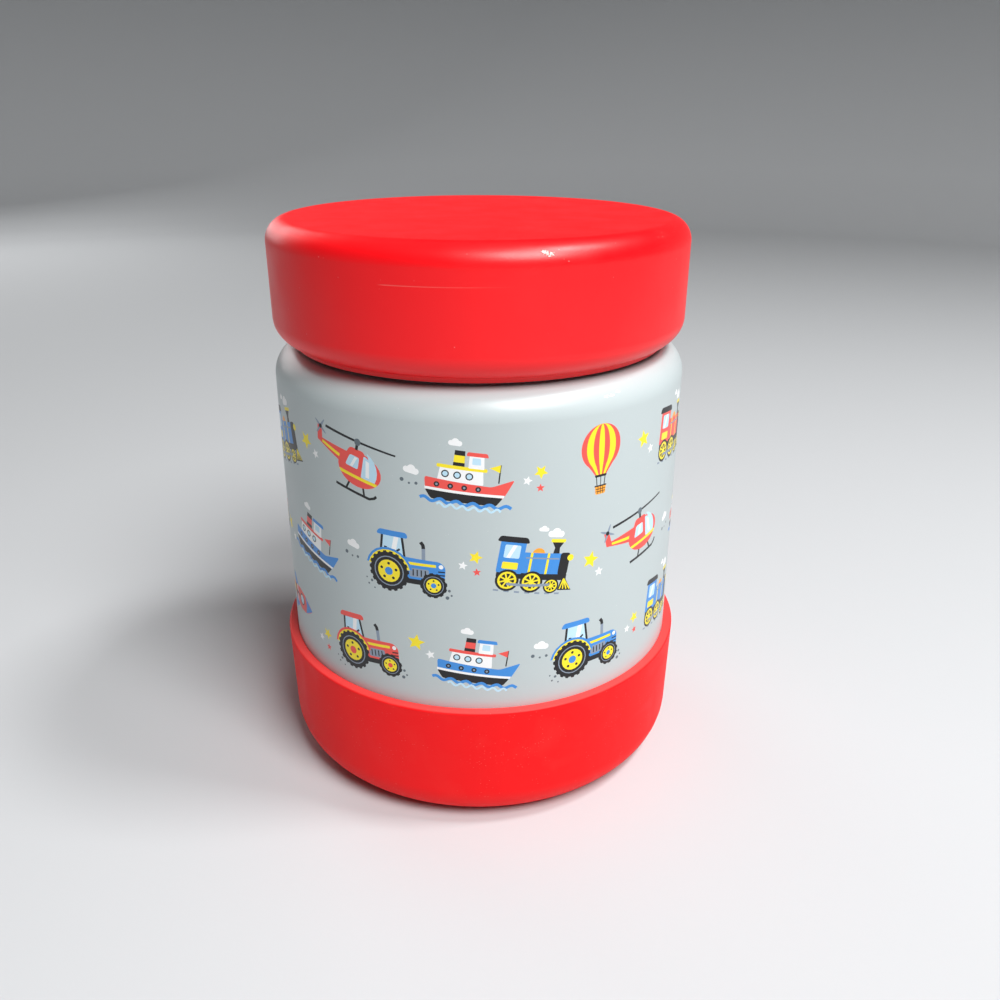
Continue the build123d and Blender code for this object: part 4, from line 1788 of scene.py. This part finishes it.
        level = roll.add(JOIN, (parts[0], parts[1]))
        outward = roll.add(VECTOR_MATH, (level,), operation="NORMALIZE")
        offset = roll.add(VECTOR_MATH, {0: outward, "Scale": height}, operation="SCALE")
        reach = roll.add(VECTOR_MATH, (level,), operation="LENGTH").outputs["Value"]
        away = roll.add(MATH, (reach, given["radius"]), operation="SUBTRACT")
        apart = roll.add(MATH, (away,), operation="ABSOLUTE")
        on_neck = roll.add(MATH, (apart, given["band"]), operation="LESS_THAN")
        moved = roll.add("GeometryNodeSetPosition", {
            "Geometry": given["geometry"], "Selection": on_neck, "Offset": offset,
        })
        bare = roll.add(MATH, (parts[2], given["foot"]), operation="GREATER_THAN")
        roll.end(moved, bare)
        roll.run(wall)

    def build_vessel(self) -> Piece:
        """Builds the vessel: a drawn cup with a raised panel in its floor and a rolled rim.

        Returns:
            The vessel.
        """
        outer = self.neck_radius - self.sheet - self.neck_vacuum
        mouth = outer - self.sheet
        floor, seat = self.vessel.low, self.vessel.high - self.rim_height
        low_edge, high_edge = self.panel_radius + self.panel_rise, self.panel_radius - self.panel_rise
        spots = rounded([
            Corner(0.0, floor + self.panel_rise),
            Corner(high_edge, floor + self.panel_rise, self.panel_round),
            Corner(low_edge, floor, self.panel_round),
            Corner(outer, floor, self.vessel_corner),
            Corner(outer, seat),
            Corner(self.neck_radius, seat),
            Corner(self.neck_radius, self.vessel.high, self.rim_round),
            Corner(mouth, self.vessel.high, self.rim_round),
            Corner(mouth, floor + self.sheet, self.vessel_corner - self.sheet),
            Corner(low_edge, floor + self.sheet, self.panel_round),
            Corner(high_edge, floor + self.sheet + self.panel_rise, self.panel_round),
            Corner(0.0, floor + self.sheet + self.panel_rise),
        ])
        vessel = turned("food_vessel", BRUSHED_STEEL, spots)
        return settle(vessel, "jar", "inner_vessel")

    def build_cover(self) -> Piece:
        """Builds the cover that is pressed into the base: a spun dish with a shallow stiffening ring.

        Returns:
            The cover.
        """
        radius, low, high = self.cover.radius, self.cover.low, self.cover.high
        groove, floor, mouth = self.groove_radius, self.groove_floor / 2, self.groove_mouth / 2
        spots = rounded([
            Corner(0.0, low),
            Corner(groove - mouth, low, self.groove_round),
            Corner(groove - floor, low + self.groove_depth, self.groove_round),
            Corner(groove + floor, low + self.groove_depth, self.groove_round),
            Corner(groove + mouth, low, self.groove_round),
            Corner(radius, low, self.cover_round),
            Corner(radius, high, self.cover_lip_round),
            Corner(radius - self.sheet, high, self.cover_lip_round),
            Corner(radius - self.sheet, low + self.sheet, self.cover_round - self.sheet),
            Corner(0.0, low + self.sheet),
        ])
        return settle(turned("spun_cover", SPUN_STEEL, spots), "jar", "base_cover")


def dress_node(name: str, finish: Finish) -> Piece:
    """Gives a CAD node another material, in its own slots.

    Args:
        name: The node's name.
        finish: Its finish.

    Returns:
        The node's object.
    """
    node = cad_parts[name]
    for slot in node.material_slots:
        slot.material = finish.material()
    return node


# ---- The screw lid ----


@dataclass
class ScrewLid:
    """The lid: a shell snapped over a threaded liner, with foam between them and a gasket in the liner."""

    jar: SteelJar  # which it screws on
    shell: Span = field(default_factory=lambda: Span.of("lid_shell"))
    liner: Span = field(default_factory=lambda: Span.of("lid_liner"))
    gasket: Span = field(default_factory=lambda: Span.of("lid_gasket"))
    draft: float = 0.2
    top_round: float = 4.5
    bottom_round: float = 5.0
    shell_top: float = 2.2
    shell_inner_round: float = 2.0
    snap_gap: float = 0.05
    flange_height: float = 1.8
    skirt_outer: float = 42.6
    skirt_inner: float = 40.6
    lead_in: float = 0.6
    edge_round: float = 1.6
    lead_in_round: float = 0.3
    lip_round: float = 0.2
    boss_inner: float = 34.1
    boss_outer: float = 35.9
    boss_round: float = 0.4
    bead_radius: float = 36.4
    bead_low: float = 114.5
    bead_height: float = 0.9
    bead_round: float = 0.3
    bead_edge_round: float = 0.15
    gasket_rib: float = 0.4
    gasket_rib_width: float = 1.6
    gasket_rib_round: float = 0.2
    gasket_root_round: float = 0.15
    gasket_heel_round: float = 0.25
    gasket_edge_round: float = 0.3
    thread_depth: float = 1.1
    thread_sunk: float = 0.3  # how deep the thread stands in the skirt
    thread_root: float = 2.0
    thread_crest: float = 1.0
    thread_steps: int = 260
    thread_taper: float = 0.0625  # the share of its length in which it shrinks at each end
    rib_count: int = 12
    rib_width: float = 2.0
    rib_root: float = 0.4  # how deep the ribs stand in the skirt

    def build(self) -> list[Piece]:
        """Builds the pieces of the lid and dresses the foam.

        Returns:
            All of them.
        """
        return [self.build_shell(), self.build_liner(), self.build_gasket(), dress_node("lid_foam", FOAM)]

    def form(self) -> list[Spot]:
        """Draws the lid's whole outer form.

        Returns:
            Its outline, from the axis below to the axis above.
        """
        return rounded([
            Corner(0.0, self.shell.low),
            Corner(self.shell.radius - self.draft, self.shell.low, self.bottom_round),
            Corner(self.shell.radius, self.shell.high, self.top_round),
            Corner(0.0, self.shell.high),
        ])

    def build_shell(self) -> Piece:
        """Builds the shell, whose lower edge ends where the liner's flange goes on with its round.

        Returns:
            The shell.
        """
        bore, ceiling = self.liner.radius + self.snap_gap, self.shell.high - self.shell_top
        form = self.form()
        number, edge = crossing(form, bore)
        inside = rounded([
            Corner(0.0, ceiling),
            Corner(bore, ceiling, self.shell_inner_round),
            Corner(bore, edge.height),
        ])
        cap = turned("lid_cap", LID_PLASTIC, [*inside[:-1], edge, *form[number:]])
        return settle(cap, "lid", "lid_shell")

    def build_liner(self) -> Piece:
        """Builds the liner with its boss, its thread and its drive ribs.

        Returns:
            The liner.
        """
        ceiling = self.gasket.high
        form = self.form()
        number, edge = crossing(form, self.liner.radius)
        bead_high = self.bead_low + self.bead_height
        inside = rounded([
            Corner(0.0, ceiling),
            Corner(self.boss_inner, ceiling, self.boss_round),
            Corner(self.boss_inner, self.bead_low, self.bead_round),
            Corner(self.bead_radius, self.bead_low, self.bead_round),
            Corner(self.bead_radius, bead_high, self.bead_edge_round),
            Corner(self.boss_outer, bead_high),
            Corner(self.boss_outer, ceiling),
            Corner(self.skirt_inner, ceiling),
            Corner(self.skirt_inner, self.liner.low + self.lead_in, self.lead_in_round),
            Corner(self.skirt_inner + self.lead_in, self.liner.low, self.lip_round),
            Corner(self.liner.radius, self.liner.low),
        ])
        flange = self.liner.low + self.flange_height
        outside = rounded([
            Corner(edge.radius, edge.height),
            Corner(self.liner.radius, flange),
            Corner(self.skirt_outer, flange),
            Corner(self.skirt_outer, self.liner.high, self.edge_round),
            Corner(0.0, self.liner.high),
        ])
        underside = [spot for spot in form[:number] if spot.radius > inside[-2].radius]
        spots = [*inside[:-1], *underside, edge, *outside[1:]]
        liner = turned("lid_liner_moulding", LINER_PLASTIC, spots)
        self.add_ridges(liner, flange)
        return settle(liner, "lid", "lid_liner")

    def add_ridges(self, liner: Piece, flange: float) -> None:
        """Adds the thread inside the skirt, half a pitch off the neck's, and the ribs round its outside.

        Args:
            liner: The turned liner.
            flange: The height on which the ribs stand.
        """
        top, pitch = self.gasket.high, self.jar.thread_pitch
        ridges = Pattern(
            "liner_thread_and_ribs",
            radius=(self.skirt_inner + (self.thread_sunk - self.thread_depth) / 2) * MM,
            start=(self.jar.thread_foot - pitch / 2) * MM,
            pitch=pitch * MM,
            turns=self.jar.thread_turns,
            depth=(self.thread_depth + self.thread_sunk) * MM,
            root=self.thread_root * MM,
            crest=self.thread_crest * MM,
            steps=self.thread_steps,
            rib_count=self.rib_count,
            rib_length=(self.liner.radius - self.skirt_outer + self.rib_root) * MM,
            rib_width=self.rib_width * MM,
            rib_height=(top - flange) * MM,
            rib_middle=(top + flange) / 2 * MM,
            rib_reach=(self.liner.radius + self.skirt_outer - self.rib_root) / 2 * MM,
            finish=LINER_PLASTIC.material(),
        )
        joined = ridges.add("GeometryNodeJoinGeometry")
        for part in (ridges.given["geometry"], self.thread_in(ridges), self.ribs_in(ridges)):
            ridges.tree.links.new(part, joined.inputs[0])
        ridges.end(joined)
        ridges.run(liner)

    def thread_in(self, ridges: Pattern) -> bpy.types.NodeSocket:
        """Adds the thread to the tree: a trapezoid swept along a helix, shrinking to nothing at both ends.

        Args:
            ridges: The tree, with its named inputs.

        Returns:
            The finished thread.
        """
        given = ridges.given
        line = ridges.add("GeometryNodeCurvePrimitiveLine")
        steps = ridges.add("GeometryNodeResampleCurve", {"Curve": line, "Count": given["steps"]})
        along = ridges.add("GeometryNodeSplineParameter").outputs["Factor"]
        turned = ridges.add(MATH, (along, given["turns"]), operation="MULTIPLY")
        facing = ridges.add(MATH, (turned, 0.5), operation="SUBTRACT")
        angle = ridges.add(MATH, (facing, 2 * math.pi), operation="MULTIPLY")
        cosine = ridges.add(MATH, (angle,), operation="COSINE")
        sine = ridges.add(MATH, (angle,), operation="SINE")
        across = ridges.add(MATH, (cosine, given["radius"]), operation="MULTIPLY")
        back = ridges.add(MATH, (sine, given["radius"]), operation="MULTIPLY")
        height = ridges.add(MATH, (turned, given["pitch"], given["start"]), operation="MULTIPLY_ADD")
        place = ridges.add(JOIN, (across, back, height))
        helix = ridges.add("GeometryNodeSetPosition", {"Geometry": steps, "Position": place})
        level = ridges.add("GeometryNodeSetCurveNormal", {"Curve": helix}, mode="Z_UP")

        left = ridges.add(MATH, (1.0, along), operation="SUBTRACT")
        nearer = ridges.add(MATH, (along, left), operation="MINIMUM")
        size = ridges.add(MATH, (nearer, 1 / self.thread_taper), operation="MULTIPLY", use_clamp=True)
        tapered = ridges.add("GeometryNodeSetCurveRadius", {"Curve": level, "Radius": size})
        widths = {"Bottom Width": given["root"], "Top Width": given["crest"], "Offset": 0.0}
        form = {"Height": given["depth"], **widths}
        profile = ridges.add("GeometryNodeCurvePrimitiveQuadrilateral", form, mode="TRAPEZOID")
        facing_in = {"Geometry": profile, "Rotation": (0.0, 0.0, math.pi / 2)}
        inwards = ridges.add("GeometryNodeTransform", facing_in)
        sweep = {"Curve": tapered, "Profile Curve": inwards, "Fill Caps": True}
        return ridges.add("GeometryNodeCurveToMesh", sweep).outputs[0]

    def ribs_in(self, ridges: Pattern) -> bpy.types.NodeSocket:
        """Adds the drive ribs to the tree: one block, repeated round the skirt.

        Args:
            ridges: The tree, with its named inputs.

        Returns:
            The finished ribs.
        """
        given = ridges.given
        size = ridges.add(JOIN, (given["rib_length"], given["rib_width"], given["rib_height"]))
        block = ridges.add("GeometryNodeMeshCube", {"Size": size})
        reach = ridges.add(JOIN, {0: given["rib_reach"], 2: given["rib_middle"]})
        placed = ridges.add("GeometryNodeTransform", {"Geometry": block, "Translation": reach})
        stack = ridges.add("GeometryNodeMeshLine", {"Count": given["rib_count"], "Offset": (0.0, 0.0, 0.0)})
        number = ridges.add("GeometryNodeInputIndex")
        share = ridges.add(MATH, (number, given["rib_count"]), operation="DIVIDE")
        angle = ridges.add(MATH, (share, 2 * math.pi), operation="MULTIPLY")
        turn = ridges.add(JOIN, {2: angle})
        each = {"Points": stack, "Instance": placed, "Rotation": turn}
        return ridges.add("GeometryNodeInstanceOnPoints", each).outputs[0]

    def build_gasket(self) -> Piece:
        """Builds the gasket: a flat ring round the boss, with a rib that seals on the rim.

        Returns:
            The gasket.
        """
        seat = self.gasket.low + self.gasket_rib
        middle = self.jar.neck_radius - (self.jar.sheet * 2 + self.jar.neck_vacuum) / 2
        half, crest = self.gasket_rib_width / 2, self.gasket_rib_width / 4
        spots = rounded([
            Corner(self.boss_outer, self.gasket.high),
            Corner(self.boss_outer, seat, self.gasket_heel_round),
            Corner(middle - half, seat, self.gasket_root_round),
            Corner(middle - crest, self.gasket.low, self.gasket_rib_round),
            Corner(middle + crest, self.gasket.low, self.gasket_rib_round),
            Corner(middle + half, seat, self.gasket_root_round),
            Corner(self.gasket.radius, seat, self.gasket_edge_round),
            Corner(self.gasket.radius, self.gasket.high),
        ], closed=True)
        gasket = turned("rim_gasket", SEAL_RUBBER, spots, closed=True)
        return settle(gasket, "lid", "lid_gasket")


# ---- The boot ----


@dataclass
class Boot:
    """The silicone boot that is stretched over the jar's foot."""

    box: Span = field(default_factory=lambda: Span.of("boot"))
    stretch: float = 0.15  # how much closer to the steel it lies than its solid
    rim_wall: float = 2.0
    low_wall: float = 1.25
    floor: float = 2.4
    bottom_round: float = 9.0
    inner_round: float = 7.2
    rim_round: float = 0.45
    lip_round: float = 0.2
    foot_ring: float = 8.0
    recess: float = 0.8
    recess_round: float = 0.5

    def build(self) -> list[Piece]:
        """Builds the boot: a cup whose wall thickens to its rim, with a shallow recess under its floor.

        Returns:
            The boot, by itself.
        """
        bore, floor = self.box.radius - self.rim_wall - self.stretch, self.floor + self.stretch
        low_radius = self.box.radius - self.rim_wall + self.low_wall
        recess_radius = low_radius - self.bottom_round - self.foot_ring
        spots = rounded([
            Corner(0.0, self.recess),
            Corner(recess_radius, self.recess, self.recess_round),
            Corner(recess_radius + self.recess, 0.0, self.recess_round),
            Corner(low_radius, 0.0, self.bottom_round),
            Corner(self.box.radius, self.box.high, self.rim_round),
            Corner(bore, self.box.high, self.lip_round),
            Corner(bore, floor, self.inner_round - self.stretch),
            Corner(0.0, floor),
        ])
        return [settle(turned("foot_boot", BOOT_RUBBER, spots), "boot", "boot")]


# ---- Studio ----


@dataclass(frozen=True)
class Softbox:
    """A square studio light, in metres and watts."""

    name: str
    place: Place
    size: float
    power: float

    def hang(self, target: Vector) -> None:
        """Hangs the light, turned towards a point.

        Args:
            target: That point in metres.
        """
        lamp = bpy.data.lights.new(self.name, "AREA")
        lamp.size = self.size
        lamp.energy = self.power
        holder = bpy.data.objects.new(self.name, lamp)
        holder.location = self.place
        holder.rotation_euler = (target - Vector(self.place)).to_track_quat("-Z", "Y").to_euler()
        bpy.context.scene.collection.objects.link(holder)


@dataclass(frozen=True)
class Studio:
    """A round paper cove, soft lights and the camera. Sizes are in millimetres unless they say otherwise."""

    softboxes: tuple[Softbox, ...] = (
        Softbox("key_light", (0.33, -0.50, 0.80), 0.42, 10.3),
        Softbox("edge_light", (0.46, -0.07, 0.90), 0.17, 4.6),
        Softbox("back_light", (-0.62, 0.80, 0.40), 0.50, 2.0),
    )
    ambient: float = 0.08  # the world's light on matte surfaces
    backdrop: float = 0.22  # the world's light as seen, mirrored or looked through
    cove_radius: float = 1400.0
    cove_height: float = 1600.0
    cove_round: float = 400.0
    camera_place: Place = (4.75, -213.95, 149.1)
    camera_fall: float = 23.02  # degrees that it looks down
    camera_roll: float = 0.164  # degrees
    camera_near: float = 10.0  # nearer things are clipped
    focal_length: float = 0.949  # as a share of the frame's width

    def build(self, middle: Vector) -> None:
        """Builds the studio.

        Args:
            middle: What the lights are turned to, in metres.
        """
        self.lay_cove()
        for softbox in self.softboxes:
            softbox.hang(middle)
        self.light_world()
        self.place_camera()
        bpy.context.scene.view_settings.view_transform = "Standard"

    def lay_cove(self) -> None:
        """Lays the paper: a round floor that curves up into a wall on every side."""
        spots = rounded([
            Corner(self.cove_radius, self.cove_height),
            Corner(self.cove_radius, 0.0, self.cove_round),
            Corner(0.0, 0.0),
        ])
        turned("paper_cove", PAPER, spots)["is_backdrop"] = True

    def light_world(self) -> None:
        """Lights the world plainly, and shows it pale to the camera, in gloss and through glass."""
        world = bpy.data.worlds.new("studio_world")
        bpy.context.scene.world = world
        world.use_nodes = True
        air = Graph(world.node_tree)
        background = air.tree.nodes["Background"]
        background.inputs["Color"].default_value = linear("FFFFFF")
        rays = air.add("ShaderNodeLightPath").outputs
        through = air.add(MATH, (rays["Is Glossy Ray"], rays["Is Transmission Ray"]), operation="MAXIMUM")
        seen = air.add(MATH, (rays["Is Camera Ray"], through), operation="MAXIMUM")
        strength = air.add("ShaderNodeMix", {0: seen, 2: self.ambient, 3: self.backdrop})
        air.tree.links.new(strength.outputs[0], background.inputs["Strength"])

    def place_camera(self) -> None:
        """Places the camera and makes it the scene's own."""
        lens = bpy.data.cameras.new("camera")
        lens.lens = lens.sensor_width * self.focal_length
        lens.clip_start = self.camera_near * MM
        camera = bpy.data.objects.new("camera", lens)
        tilt = Matrix.Rotation(math.radians(90 - self.camera_fall), 4, "X")
        roll = Matrix.Rotation(math.radians(self.camera_roll), 4, "Z")
        camera.matrix_world = Matrix.Translation(Vector(self.camera_place) * MM) @ tilt @ roll
        bpy.context.scene.collection.objects.link(camera)
        bpy.context.scene.camera = camera


def main() -> None:
    """Builds the jar, its lid, its boot and the studio, in that order."""
    logging.basicConfig(level=logging.INFO, format="%(name)s: %(message)s")
    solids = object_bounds()
    jar = SteelJar()
    for assembly in (jar, ScrewLid(jar), Boot()):
        for piece in assembly.build():
            finish = piece.data.materials[0].name
            log.info("%s: %d faces, %s", piece.name, len(piece.data.polygons), finish)
    Studio().build((solids[0] + solids[1]) / 2)


if __name__ == "__main__":
    main()
